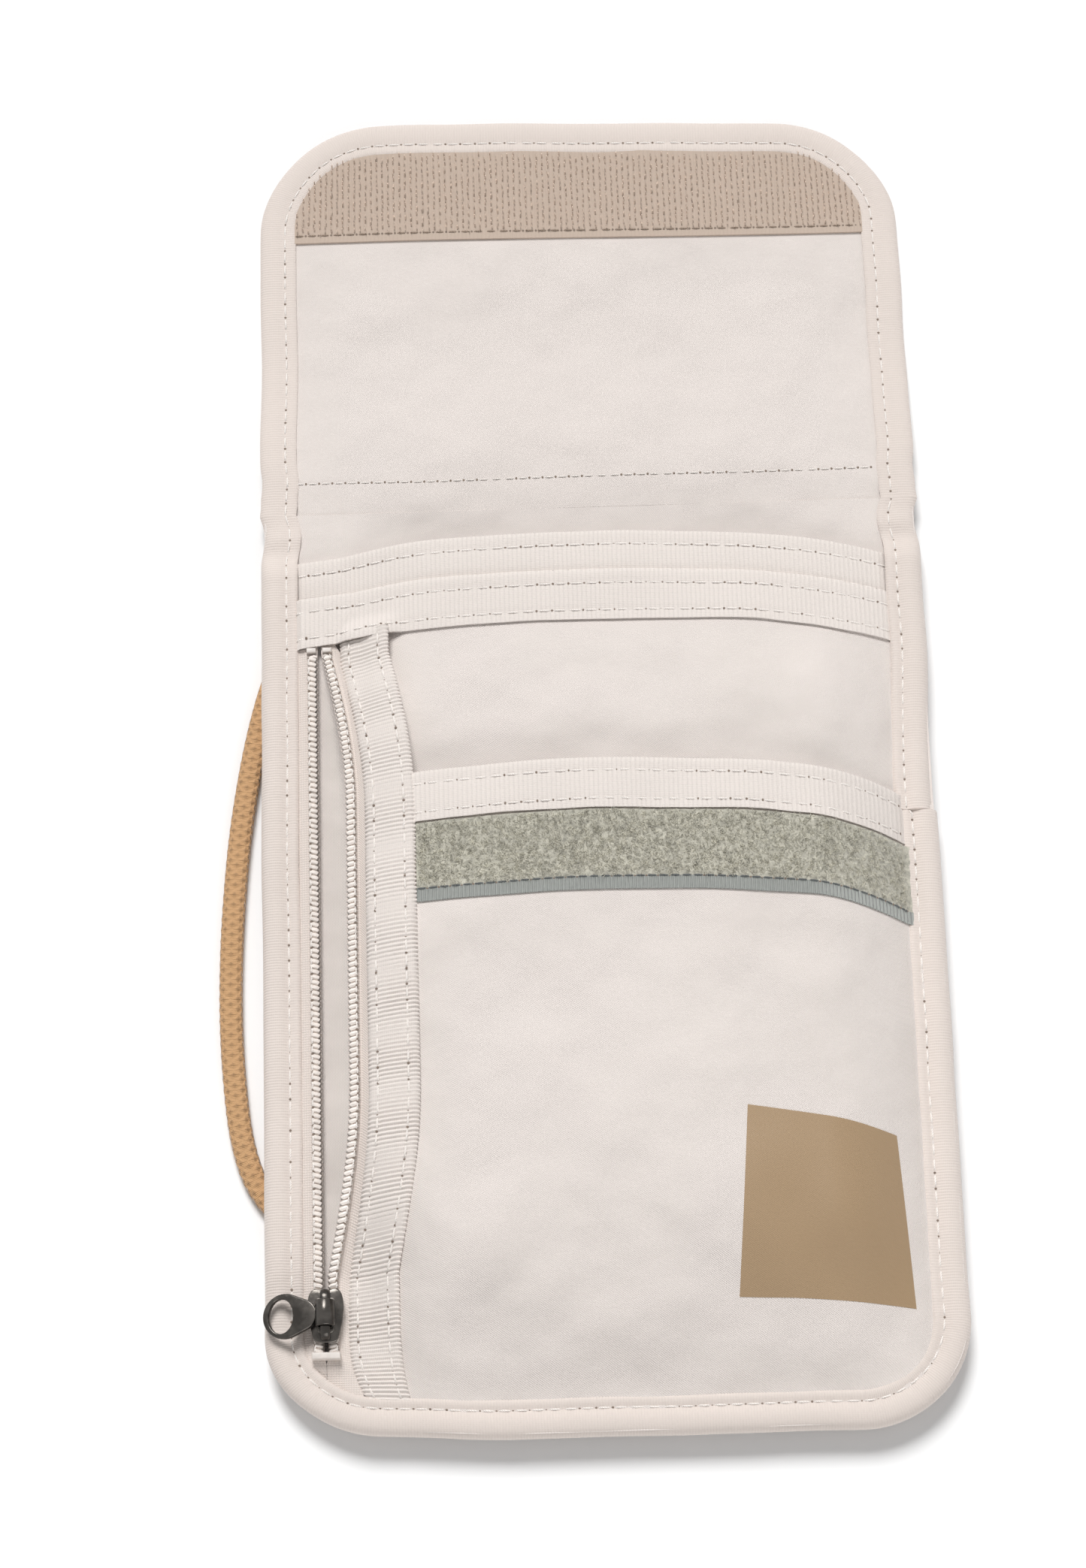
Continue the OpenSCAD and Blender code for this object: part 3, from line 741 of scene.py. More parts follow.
def cord_material():
    """Flat braid: two sets of strands cross, and pass over and under each other in turn."""
    n = Nodes("cord_braid")
    u, v = n.cut()
    pitch = 2.3
    one = centred(n, n.wave(n.math("ADD", u, v), pitch))
    two = centred(n, n.wave(n.math("SUBTRACT", u, v), pitch))
    over = n.math("MAXIMUM", n.math("POWER", one, 0.8), n.math("POWER", two, 0.8))
    yarn = centred(n, n.wave(u, 0.35))
    height = n.math("ADD", n.math("MULTIPLY", over, 0.85), n.math("MULTIPLY", yarn, 0.15))
    spread = n.noise(300.0, 4.0)
    # painted light and shade: where a strand dips under the other the braid is darkened to 0.42 of its
    # colour, and its raised strands are lightened to 1.12
    relief_shade = n.blend(n.remap(height, 0.45, 1.0, 0.0, 1.0), scaled(CORD, 0.42), scaled(CORD, 1.12))
    n.colour(n.blend(n.remap(spread, 0.3, 0.7, 0.0, 0.3), relief_shade, scaled(CORD, 1.3)))
    n.relief(height, 0.45)
    return n.finish(Roughness=0.68, Sheen_Weight=0.3, Sheen_Roughness=0.4, Specular_IOR_Level=0.3)


def metal_material():
    n = Nodes("dark_metal")
    grain = n.noise(900.0, 5.0)
    wear = n.noise(260.0, 3.0)
    # painted highlight: convex edges, found by their pointiness, are painted up to nine times brighter than
    # the metal, standing in for glints
    edges = n.add("ShaderNodeNewGeometry").outputs["Pointiness"]
    body = n.blend(n.remap(wear, 0.42, 0.62, 0.0, 1.0), METAL, scaled(METAL, 1.9))
    n.colour(n.blend(n.remap(edges, 0.53, 0.62, 0.0, 1.0), body, scaled(METAL, 9.0)))
    n.roughness(n.remap(grain, 0.3, 0.7, 0.16, 0.3))
    n.relief(grain, 0.02)
    return n.finish(Metallic=0.9, Specular_IOR_Level=0.5)


def plain_plastic(name, colour, rough=0.42):
    n = Nodes(name)
    spread = n.noise(500.0, 3.0)
    n.colour(n.blend(n.remap(spread, 0.3, 0.7, 0.0, 1.0), scaled(colour, 0.88), scaled(colour, 1.06)))
    n.relief(spread, 0.03)
    return n.finish(Roughness=rough, Specular_IOR_Level=0.45 if rough < 0.8 else 0.1)


def foil_material():
    n = Nodes("shielding_foil")
    u = n.noise(800.0, 3.0)
    n.colour(n.blend(u, scaled(FOIL, 0.8), FOIL))
    n.relief(u, 0.05)
    return n.finish(Metallic=0.7, Roughness=0.35)


MATS = {
    "shell_cloth": woven("shell_cloth", CLOTH, "twill", 0.62, 0.09, dark=0.86, fold_shade=0.07),
    "lining_cloth": woven("lining_cloth", scaled(CLOTH, 0.985), "twill", 0.5, 0.07, dark=0.88, fold_shade=0.06),
    "binding_cloth": woven("binding_cloth", BINDING, "rib", 0.62, 0.1, dark=0.86, fold_shade=0.07),
    "ribbed_tape": woven("ribbed_tape", RIBBED, "rib", 1.02, 0.24, dark=0.68, fold_shade=0.03),
    "zip_cloth": woven("zip_cloth", scaled(BINDING, 1.03), "plain", 0.55, 0.06),
    # painted shade and light: the hook base is the hook colour darkened to 0.86 beneath its hooks, and the
    # hooks are lightened to 1.12
    "hook_base": woven("hook_base", scaled(HOOK, 0.86), "rib", 0.9, 0.08, sheen=0.1),
    "hook_pile": fibre_material("hook_pile", scaled(HOOK, 1.12)),
    "loop_pile": loop_material(),
    # painted light: the loop fibres are a copy of the loop colour lightened by 1.25, standing above the pile
    "loop_fibre": fibre_material("loop_fibre", scaled(LOOP, 1.25), 0.4),
    "thread": thread_material("thread", THREAD),
    "hook_thread": thread_material("hook_thread", HOOK_THREAD),
    "loop_thread": thread_material("loop_thread", LOOP_THREAD),
    "needle_hole": plain_plastic("needle_hole", NEEDLE_HOLE_SHADE, 0.9),
    "bare_print": print_material(),
    "cord_braid": cord_material(),
    "zip_coil": plain_plastic("zip_coil", COIL),
    # painted shade: the stops are the coil's plastic darkened to 0.8 of its colour
    "zip_stop": plain_plastic("zip_stop", scaled(COIL, 0.8)),
    "dark_metal": metal_material(),
    "shielding_foil": foil_material(),
}


def dress(obj, material, second=None):
    for key in (material, second):
        if key:
            obj.data.materials.append(MATS[key])
    return obj


def sew(name, lines, thread, length=2.5, gap=0.75, thick=0.24):
    return dress(stitches(name, lines, length, gap, thick), thread, "needle_hole")


# ---------------------------------------------------------------- camera
FRAME_W, FRAME_H = 1445, 2087
FOCAL_PX = 5373.0
SENSOR = 36.0
DISTANCE = 900.0
TILT = 20.0                    # the camera stands this far from straight above
ROLL = 1.75
TARGET = Vector((0.0, -16.35, 0.0))
TARGET_PX = (797.0, 1080.0)    # where the target lies in the photograph


def make_camera():
    data = bpy.data.cameras.new("camera")
    data.sensor_width = SENSOR
    data.lens = FOCAL_PX * SENSOR / FRAME_H
    data.clip_start, data.clip_end = 0.05, 10.0
    cam = bpy.data.objects.new("camera", data)
    bpy.context.scene.collection.objects.link(cam)
    bpy.context.scene.camera = cam
    tilt = math.radians(TILT)
    back = Vector((0, -math.sin(tilt), math.cos(tilt)))
    up = Vector((0, math.cos(tilt), math.sin(tilt)))
    roll = Matrix.Rotation(math.radians(ROLL), 3, -back)
    right, up = roll @ Vector((1, 0, 0)), roll @ up
    per_px = DISTANCE / FOCAL_PX
    aim = TARGET - right * (TARGET_PX[0] - FRAME_W / 2) * per_px
    aim += up * (TARGET_PX[1] - FRAME_H / 2) * per_px
    cam.matrix_world = Matrix.Translation((aim + back * DISTANCE) * MM) \
        @ Matrix((right, up, back)).transposed().to_4x4()


make_camera()


# ---------------------------------------------------------------- neck cord
def spiral(turn):
    """One strand of the wound cord, from outside in: the two strands lie side by side."""
    r_out = TURN_R0 + 2 * TURN_GAP * TURNS
    points = []
    steps = int(TURNS * 40)
    for k in range(steps + 1):
        t = k / steps
        r = mix(r_out, TURN_R0, t)
        ang = math.radians(-90) + 2 * math.pi * TURNS * t + turn
        points.append(Vector((COIL_AT[0] + r * math.cos(ang), COIL_AT[1] + r * math.sin(ang))))
    return points


def cord_line():
    """The whole cord: left patch, out round the left side, in to the winding, out to the right."""
    inward = spiral(0.0)
    outward = spiral(math.pi)[::-1]
    centre = Vector(COIL_AT)
    a, b = inward[-1], outward[0]
    join = []
    for start, end, sign in ((a, centre, 1), (centre, b, -1)):
        middle = (start + end) / 2
        arm = start - middle
        for k in range(1, 13):
            ang = sign * math.pi * k / 12
            turned = Vector((arm.x * math.cos(ang) - arm.y * math.sin(ang),
                             arm.x * math.sin(ang) + arm.y * math.cos(ang)))
            join.append(middle + turned)
    flat = spline(ROUTE_LEFT, 8)[:-1] + inward + join + outward[1:-1] + spline(ROUTE_RIGHT, 8)
    return [Vector((p.x, p.y, CORD_T / 2)) for p in flat]


# ---------------------------------------------------------------- patches over the cord's ends
PATCH_SOFT = 0.35


def make_patch(node):
    low, high = span(node)
    r = 1.2
    xs = stations(low.x, high.x, 1.0)
    ys = stations(low.y, high.y, 1.0)

    def under_side(x, y):
        edge = min(x - low.x, high.x - x, y - low.y, high.y - y)
        return low.z + PATCH_SOFT * (1 - ease(edge / r))

    sections, uvs = [], []
    for y in ys:
        under = [Vector((x, y, under_side(x, y))) for x in xs]
        over = [Vector((x, y, high.z + 0.05)) for x in xs]
        sections.append(under + over[::-1])
        uvs.append([(x, y) for x in xs] + [(x, y) for x in reversed(xs)])
    piece = dress(grid_cloth(node + "_cloth", sections, uvs), "binding_cloth")
    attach(piece, "pouch")
    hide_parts(node)
    return piece


CORD_SIDES = 20
CORD_STEP = 1.3


def make_cord(patches):
    line = resample(cord_line(), CORD_STEP)
    sections, uvs = [], []
    walked = 0.0
    for k, (p, way) in enumerate(zip(line, tangents(line))):
        if k:
            walked += (p - line[k - 1]).length
        side = Vector((way.y, -way.x, 0))
        ring, cut = [], []
        for i in range(CORD_SIDES):
            ang = 2 * math.pi * i / CORD_SIDES
            c, s = math.cos(ang), math.sin(ang)
            across = math.copysign(abs(c) ** 0.75, c) * CORD_W / 2
            up = math.copysign(abs(s) ** 0.75, s) * CORD_T / 2
            over = 0.5 + 0.5 * math.cos(2 * math.pi * (walked + i * 0.7) / 2.6)
            grow = 1 - 0.05 * over
            ring.append(p + side * across * grow + Vector((0, 0, up * grow)))
            cut.append((walked, i / CORD_SIDES * 2.3 * 6))
        sections.append(ring)
        uvs.append(cut)
    cord = dress(loft("neck_cord", sections, uvs, False), "cord_braid")
    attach(cord, "pouch")
    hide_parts("neck_cord_left", "neck_cord_coil", "neck_cord_right")


make_cord([make_patch("cord_anchor_left"), make_patch("cord_anchor_right")])


# ---------------------------------------------------------------- cloths of the back, spine and flap
def even_xs(y, low, high, count=46):
    return [mix(low, high, k / (count - 1)) for k in range(count)]


def flap_half(y):
    r = FLAP_R - EDGE_IN
    past = y - (Y_FREE - FLAP_R)
    return X_FULL - (0 if past <= 0 else r - math.sqrt(max(0.0, r * r - min(r, past) ** 2)))


def back_heights(y, body_level, spine_level):
    return mix(body_level, LIFT + spine_level, ease((y - Y_FOLD1 + 8) / 7))


def make_back_cloths():
    ys = stations(Y_BOTTOM + EDGE_IN, Y_SPLIT, 3.0)

    def xs(y):
        half = body_half(min(y, Y_FOLD1))
        return even_xs(y, -half, half, 60)

    def lining(x, y):
        z = back_heights(y, Z_BACK_LINING + LINING_T, FLAP_LINING + LINING_T)
        return x, y, z + max(0.0, fold_creases(x, y)) * 0.5

    def shell(x, y):
        z = back_heights(y, Z_BACK, FLAP_SHELL) + SHELL_T
        sag = 0.35 * (0.5 + 0.5 * ripple(x, y, 26, 9.0)) * free_of_edges(x, min(y, 30))
        return x, y, z - sag

    inner = dress(cloth_piece("back_lining_cloth", xs, ys, lining, LINING_T), "lining_cloth")
    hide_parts("back_lining", "spine_lining")
    outer = dress(cloth_piece("back_shell_cloth", xs, ys, shell, SHELL_T), "shell_cloth")
    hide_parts("back_shell", "spine_shell")
    foil_ys = stations(Y_BOTTOM + 3, Y_FOLD1 - 3, 4.0)
    foil = dress(cloth_piece("foil_liner", xs, foil_ys, lambda x, y: (x * 0.98, y, Z_FOIL + FOIL_T), FOIL_T),
                 "shielding_foil")
    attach(foil, "pouch")
    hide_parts("rfid_liner")
    for piece in (inner, outer):
        bend_at_spine(piece)


def bend_at_spine(piece):
    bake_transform(piece)


def bend_at_flap(piece):
    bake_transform(piece)


def flap_waves(x, y):
    """Soft waves of the flap's cloth, flat at its edges."""
    keep = ease((HALF_W - 9 - abs(x)) / 16) * ease((Y_FREE - 36 - y) / 14) * ease((y - Y_FOLD2 + 12) / 16)
    soft = 0.9 * ripple(x, y, 34, 3.3) + 0.3 * ripple(x, y, 14, 6.3)
    return keep * soft + fold_creases(x, y) * 0.8


def make_flap_cloths():
    ys = stations(Y_SPLIT, Y_FREE - EDGE_IN, 2.4)

    def xs(y):
        half = flap_half(y)
        return even_xs(y, -half, half, 60)

    def lining(x, y):
        return x, y, base_z(y) + FLAP_LINING + LINING_T + max(-0.45, flap_waves(x, y))

    def shell(x, y):
        return x, y, base_z(y) + FLAP_SHELL + SHELL_T + max(-0.3, min(0.0, flap_waves(x, y)))

    inner = dress(cloth_piece("flap_lining_cloth", xs, ys, lining, LINING_T), "lining_cloth")
    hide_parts("flap_lining")
    outer = dress(cloth_piece("flap_shell_cloth", xs, ys, shell, SHELL_T), "shell_cloth")
    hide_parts("flap_shell")
    for piece in (inner, outer):
        bend_at_flap(piece)


make_back_cloths()
make_flap_cloths()

# ---------------------------------------------------------------- edge binding
# how far in from the edge, and what share of the binding's thickness up
BIND_PROFILE = [(8.2, 0.76), (8.35, 0.86), (8.0, 0.94), (7.4, 0.97), (6.7, 0.94), (6.15, 0.89),
                (5.8, 0.865), (5.45, 0.89), (4.9, 0.945), (4.0, 1.0), (3.0, 1.01), (1.8, 0.96),
                (0.9, 0.86), (0.25, 0.68), (0.0, 0.5), (0.25, 0.32), (0.9, 0.14), (1.8, 0.04),
                (3.0, 0.0), (4.2, 0.0), (5.8, 0.06), (7.0, 0.02), (7.9, 0.03), (8.3, 0.1),
                (8.2, 0.2), (5.0, 0.3), (3.0, 0.5), (5.0, 0.7)]
LIP_SHARE = 0.865      # height of the stitched valley
STEP_Y = -21.0      # the binding's two ends overlap here, on the right
STEP_L = 17.0
STEP_IN = 1.1


def arc(cx, cy, r, a0, a1, step=1.1):
    n = max(6, round(abs(math.radians(a1 - a0)) * r / step))
    return [(Vector((cx + r * math.cos(a), cy + r * math.sin(a), 0)),
             Vector((-math.cos(a), -math.sin(a), 0)))
            for a in (math.radians(mix(a0, a1, k / n)) for k in range(n + 1))]


def straight(x0, y0, x1, y1, inward, step=1.1):
    n = max(1, round(math.hypot(x1 - x0, y1 - y0) / step))
    return [(Vector((mix(x0, x1, k / n), mix(y0, y1, k / n), 0)), Vector((*inward, 0)))
            for k in range(n)]


def body_edge():
    left = straight(-HALF_W, Y_SPLIT, -HALF_W, Y_BOTTOM + BODY_R, (1, 0))
    corner = arc(-HALF_W + BODY_R, Y_BOTTOM + BODY_R, BODY_R, 180, 270)[:-1]
    bottom = straight(-HALF_W + BODY_R, Y_BOTTOM, HALF_W - BODY_R, Y_BOTTOM, (0, 1))
    other = arc(HALF_W - BODY_R, Y_BOTTOM + BODY_R, BODY_R, 270, 360)[:-1]
    stops = [Y_BOTTOM + BODY_R, STEP_Y - 0.05, STEP_Y + 0.05, Y_SPLIT]
    right = []
    for a, b in zip(stops, stops[1:]):
        right += straight(HALF_W, a, HALF_W, b, (-1, 0))
    return left + corner + bottom + other + right + [(Vector((HALF_W, Y_SPLIT, 0)), Vector((-1, 0, 0)))]


def flap_edge():
    left = straight(-HALF_W, Y_SPLIT, -HALF_W, Y_FREE - FLAP_R, (1, 0))
    corner = arc(-HALF_W + FLAP_R, Y_FREE - FLAP_R, FLAP_R, 180, 90)[:-1]
    top = straight(-HALF_W + FLAP_R, Y_FREE, HALF_W - FLAP_R, Y_FREE, (0, -1))
    other = arc(HALF_W - FLAP_R, Y_FREE - FLAP_R, FLAP_R, 90, 0)[:-1]
    right = straight(HALF_W, Y_FREE - FLAP_R, HALF_W, Y_SPLIT, (-1, 0))
    return left + corner + top + other + right + [(Vector((HALF_W, Y_SPLIT, 0)), Vector((-1, 0, 0)))]


def edge_wobble(p, inward):
    """Small unevenness of a sewn edge, in towards the middle."""
    pinch = 0.9 * bump(p.y, Y_FOLD1 + 2, 7) + 0.4 * bump(p.y, Y_FOLD2 + 1, 5)
    near = 1 - bump(p.y, Y_SPLIT, 2)
    step = STEP_IN * (p.x > HALF_W - 1 and p.y > STEP_Y) * ease((STEP_Y + 45 - p.y) / 40)
    return (0.3 * ripple(p.x, p.y, 17, 8.8) + 0.3) * near + pinch * (abs(inward.x) > 0.9) + step


def pucker(p, s, share):
    """The binding draws in a little at each stitch."""
    along = p.x if abs(p.y - Y_BOTTOM) < 1 or abs(p.y - Y_FREE) < 1 else p.y
    near = ease(1 - abs(s - BIND_STITCH) / 2.4) * (share > 0.6)
    return 0.1 * near * math.sin(2 * math.pi * along / 3.2)


def bind_point(p, inward, s, share):
    y = p.y
    thick = bind_t(y)
    overlap = 0.45 * (p.x > HALF_W - 1 and STEP_Y < y < STEP_Y + STEP_L) * ease((STEP_Y + STEP_L - y) / 8)
    crease = 0.35 * math.sin(y / 1.5) * bump(y, Y_FOLD1 + 1, 7) * share * (abs(inward.x) > 0.9)
    at = p + inward * (s + edge_wobble(p, inward))
    lumps = (0.2 * ripple(p.x, p.y, 11, 1.1) + pucker(p, s, share)) * share * thick / BODY_T
    at.z = base_z(y) + thick * share + (overlap if share > 0.6 else 0) + crease + lumps
    return at


def make_binding(name, edge, bend, nodes):
    sections, uvs = [], []
    walked = 0.0
    for k, (p, inward) in enumerate(edge):
        if k:
            walked += (p - edge[k - 1][0]).length
        sections.append([bind_point(p, inward, s, share) for s, share in BIND_PROFILE])
        across = 0.0
        cut = []
        for i, q in enumerate(sections[-1]):
            across += (q - sections[-1][i - 1]).length if i else 0.0
            cut.append((walked, across))
        uvs.append(cut)
    piece = dress(loft(name, sections, uvs), "binding_cloth")
    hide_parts(*nodes)
    bend(piece)
    line = [bind_point(p, inward, BIND_STITCH, LIP_SHARE) for p, inward in edge]
    bend(sew(name + "_stitches", [line], "thread"))


make_binding("body_binding_cloth", body_edge(), bend_at_spine, ["body_binding", "spine_binding"])
make_binding("flap_binding_cloth", flap_edge(), bend_at_flap, ["flap_binding"])


# ---------------------------------------------------------------- pockets
def pocket_point(x, y, z):
    return grid_x(x, y), grid_y(x, y), z


def rear_top(x, y):
    return Z_REAR + LINING_T + rear_up(x, y) + 0.4 * pocket_folds(x, y)


def lining_top(x, y):
    return Z_ZIP_LINING + LINING_T + lining_up(x, y) + 0.4 * pocket_folds(x, y)


def zip_panel_top(x, y):
    return Z_ZIP + PANEL_T + zip_up(x, y) + 0.7 * pocket_folds(x, y)


def front_top(x, y):
    return Z_FRONT + SHELL_T + front_up(x, y) + pocket_folds(x, y)


def pocket_cloth(name, node, material, top, thick, y_high, left=None, count=70, step=2.6):
    ys = stations(Y_BOTTOM + EDGE_IN, y_high, step)

    def xs(y):
        low = -X_FULL if left is None else edge_x(y) + left
        return even_xs(y, low, X_FULL, count)

    piece = cloth_piece(name, xs, ys, lambda x, y: pocket_point(x, y, top(x, y)), thick)
    dress(piece, material)
    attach(piece, "pouch")
    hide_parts(node)
    return piece


pocket_cloth("rear_pocket_cloth", "rear_pocket_panel", "shell_cloth", rear_top, LINING_T, REAR_MOUTH)
pocket_cloth("zip_lining_cloth", "zip_pocket_lining", "lining_cloth", lining_top, LINING_T, ZIP_TOP)
pocket_cloth("zip_pocket_cloth", "zip_pocket_panel", "shell_cloth", zip_panel_top, PANEL_T, ZIP_TOP, 0.0)
pocket_cloth("front_pocket_cloth", "front_pocket_panel", "shell_cloth", front_top, SHELL_T, FRONT_MOUTH,
             FRONT_EDGE_IN, 90, 2.0)


# ---------------------------------------------------------------- ribbed tapes
INNER_X = HALF_W - BIND_W + 1.0     # tapes and strips end under the binding's inner lip
RIB_PITCH = 1.02
TUCK = 3.0
TAPE_BACK = 5.0


def tape_fold(x, y_high, over, cloth_t):
    """The round top of a tape folded over a mouth."""
    r = (cloth_t + TAPE_T + 0.45) / 2
    middle = over(x, y_high, TAPE_T - r)
    turns = (math.pi * k / 6 for k in range(1, 6))
    return [middle + Vector((0, r * 0.8 * math.sin(a) + 0.35, r * math.cos(a))) for a in turns]


def mouth_tape(name, node, top, cloth_t, ys, rows_y, x_low):
    """A tape folded over a pocket's mouth: a front leaf, the fold, and a shorter back leaf."""
    y_low, y_high = ys

    def over(x, y, up):
        return Vector(pocket_point(x, y, top(x, y) + up))

    def face_up(x, y):
        tuck = ease((INNER_X - abs(x)) / TUCK)
        row = max(bump(y, row_y, 1.0) for row_y in rows_y)
        rib = 0.05 * math.sin(2 * math.pi * x / RIB_PITCH)
        return mix(0.3, TAPE_T, tuck) - 0.16 * row + rib

    xs = stations(x_low, INNER_X, RIB_PITCH / 4)
    fine = stations(y_low, y_high, 0.8)
    sections, uvs = [], []
    for x in xs:
        wavy = 0.18 * ripple(x, y_low, 7, 2.7)
        front = [over(x, y + wavy * (y == y_low), face_up(x, y)) for y in fine]
        rear = [over(x, y, -cloth_t - 0.45) for y in stations(y_high, y_high - TAPE_BACK, 2.5)]
        inner_rear = [over(x, y, -cloth_t - 0.02) for y in stations(y_high - TAPE_BACK, y_high, 2.5)]
        inner = [over(x, y, 0.02) for y in stations(y_high, y_low, 2.5)]
        ring = front + tape_fold(x, y_high, over, cloth_t) + rear + inner_rear + inner
        sections.append(ring)
        across, cut = 0.0, []
        for i, q in enumerate(ring):
            across += (q - ring[i - 1]).length if i else 0.0
            cut.append((x, across))
        uvs.append(cut)
    piece = dress(loft(name, sections, uvs), "ribbed_tape")
    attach(piece, "pouch")
    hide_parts(node)
    rows = [[over(x, y, face_up(x, y)) for x in stations(x_low + 1, INNER_X - 1, 1.0)] for y in rows_y]
    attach(sew(name + "_stitches", rows, "thread"), "pouch")


def zip_band_top(x, y):
    """The zip pocket's tape also passes over the zip's top end, and dips under the binding."""
    over_zip = mix(Z_ZIP + 0.4, Z_TAPE + ZIP_TAPE_T + 0.2, ease((INNER_X - abs(x)) / 2.5))
    side = edge_x(y) + SIDE_TAPE_W / 2
    over_side = 2.1 * ease(1.6 - abs(x - side) / 6) * ease((ZIP_TOP - TAPE_W + 6 - y) / 5)
    return max(zip_panel_top(x, y) + over_side, over_zip) if x < 0 else zip_panel_top(x, y)


mouth_tape("rear_pocket_band", "rear_pocket_tape", rear_top, LINING_T, (ZIP_TOP + 0.15, REAR_MOUTH),
           (ZIP_TOP + 1.1, REAR_MOUTH - 2.4), -INNER_X)
mouth_tape("zip_pocket_band", "zip_pocket_tape", zip_band_top, PANEL_T, (ZIP_TOP - TAPE_W, ZIP_TOP),
           (ZIP_TOP - TAPE_W + 2.2, ZIP_TOP - 2.4), -INNER_X)
mouth_tape("front_pocket_band", "front_pocket_tape", front_top, SHELL_T,
           (FRONT_MOUTH - TAPE_W + 0.5, FRONT_MOUTH), (FRONT_MOUTH - TAPE_W + 2.5, FRONT_MOUTH - 2.0),
           edge_x(FRONT_MOUTH) + SIDE_TAPE_W - 1.5)

SIDE_LOW = Y_BOTTOM + 7.4
SIDE_ROWS = (2.0, SIDE_TAPE_W - 2.4)
SIDE_RIB = 0.95
SIDE_RIB_H = 0.14


def make_side_tape():
    """The ribbed tape that covers the front pocket's left edge."""
    ys = stations(SIDE_LOW, ZIP_TOP - TAPE_W + 1.5, SIDE_RIB / 4)
    shares = [0, 0.03, 0.08, 0.18, 0.3, 0.42, 0.55, 0.68, 0.78, 0.88, 0.95, 0.98, 1.0]

    def under(x, y):
        z = Z_FRONT + SHELL_T + 0.02 + front_up(x, y) + 0.6 * pocket_folds(x, y)
        return Vector(pocket_point(x, y, z))

    def face(y, share):
        rib = math.sin(2 * math.pi * y / SIDE_RIB)
        across = share * SIDE_TAPE_W
        edge = ease(min(share, 1 - share) / 0.08)
        row = max(bump(across, at, 0.9) for at in SIDE_ROWS)
        out = 0.13 * rib * (1 - edge) * (1 if share > 0.5 else -1)
        thick = mix(0.35, 1.02, ease((y - SIDE_LOW) / 4)) * mix(0.35, 1.0, edge)
        return under(edge_x(y) + across + out, y) + Vector((0, 0, thick + SIDE_RIB_H * rib - 0.2 * row))

    sections, uvs = [], []
    for y in ys:
        over = [face(y, s) for s in shares]
        low = [under(edge_x(y) + s * SIDE_TAPE_W, y) for s in shares]
        sections.append(low + over[::-1])
        uvs.append([(y, s * SIDE_TAPE_W) for s in shares] + [(y, s * SIDE_TAPE_W) for s in reversed(shares)])
    piece = dress(grid_cloth("side_band", sections, uvs), "ribbed_tape")
    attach(piece, "pouch")
    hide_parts("side_tape")
    seam_ys = stations(SIDE_LOW + 1, ZIP_TOP - TAPE_W, 1.0)
    rows = [[face(y, at / SIDE_TAPE_W) for y in seam_ys] for at in SIDE_ROWS]
    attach(sew("side_band_stitches", rows, "thread"), "pouch")


make_side_tape()


# ---------------------------------------------------------------- touch fastener
def tube_mesh(name, lines, thick, sides=4):
    """Thin fibres: one tube of even thickness along each line."""
    verts, faces, uvs = [], [], []
    for line in lines:
        first = len(verts)
        for k, (p, way) in enumerate(zip(line, tangents(line))):
            side = way.orthogonal().normalized()
            up = way.cross(side)
            for i in range(sides):
                ang = 2 * math.pi * i / sides
                verts.append(p + (side * math.cos(ang) + up * math.sin(ang)) * thick)
                uvs.append((k * 0.2, i * 0.1))
        rings = len(line)
        for r in range(rings - 1):
            q = first + r * sides
            for i in range(sides):
                j = (i + 1) % sides
                faces.append((q + i, q + j, q + sides + j, q + sides + i))
        faces.append(tuple(first + i for i in range(sides - 1, -1, -1)))
        faces.append(tuple(first + (rings - 1) * sides + i for i in range(sides)))
    return new_mesh(name, verts, faces, uvs)


LOOP_TOP = FRONT_MOUTH - TAPE_W
LOOP_LEFT = edge_x(LOOP_TOP) + SIDE_TAPE_W + 0.1
LOOP_T = 0.75
LOOP_SELVAGE = 2.9


def make_loop_strip():
    xs = stations(LOOP_LEFT, INNER_X, 1.3)
    vs = stations(0, LOOP_W, 0.9)
    sections, uvs = [], []
    for v in vs:
        y = LOOP_TOP - LOOP_W + v
        over = []
        for x in xs:
            pile = 0.0 if v < LOOP_SELVAGE else 0.3 + 0.3 * ripple(x, y, 1.7, 3.0)
            pile *= ease((INNER_X - x) / TUCK)
            over.append(Vector(pocket_point(x, y, front_top(x, y) + LOOP_T * 0.6 + pile)))
        under = [Vector(pocket_point(x, y, front_top(x, y) + 0.02)) for x in xs]
        sections.append(under + over[::-1])
        uvs.append([(x, v) for x in xs] + [(x, v) for x in reversed(xs)])
    strip = dress(grid_cloth("loop_band", sections, uvs), "loop_pile")
    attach(strip, "pouch")
    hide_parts("loop_strip")
    y = LOOP_TOP - LOOP_W + LOOP_SELVAGE
    line = [pocket_point(x, y, front_top(x, y) + LOOP_T * 0.6) for x in xs]
    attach(sew("loop_band_stitches", [line], "loop_thread", 1.9, 0.7, 0.2), "pouch")
    draw = random.Random(11)
    lines = []
    for _ in range(7000):
        x = draw.uniform(LOOP_LEFT + 0.3, INNER_X - 1.6)
        y = draw.uniform(LOOP_TOP - LOOP_W + LOOP_SELVAGE + 0.5, LOOP_TOP - 0.3)
        foot = Vector(pocket_point(x, y, front_top(x, y) + LOOP_T * 0.6 + 0.1))
        ang = draw.uniform(0, 2 * math.pi)
        reach = draw.uniform(0.5, 1.1)
        high = draw.uniform(0.35, 0.8)
        way = Vector((math.cos(ang), math.sin(ang), 0)) * reach
        turn = Vector((-way.y, way.x, 0)) * draw.uniform(-0.5, 0.5)
        up = Vector((0, 0, high))
        lines.append([foot + way * t + (turn + up) * math.sin(math.pi * t) for t in (0, 0.25, 0.5, 0.75, 1)])
    fuzz = dress(tube_mesh("loop_fibres", lines, 0.055, 3), "loop_fibre")
    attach(fuzz, "pouch")


make_loop_strip()

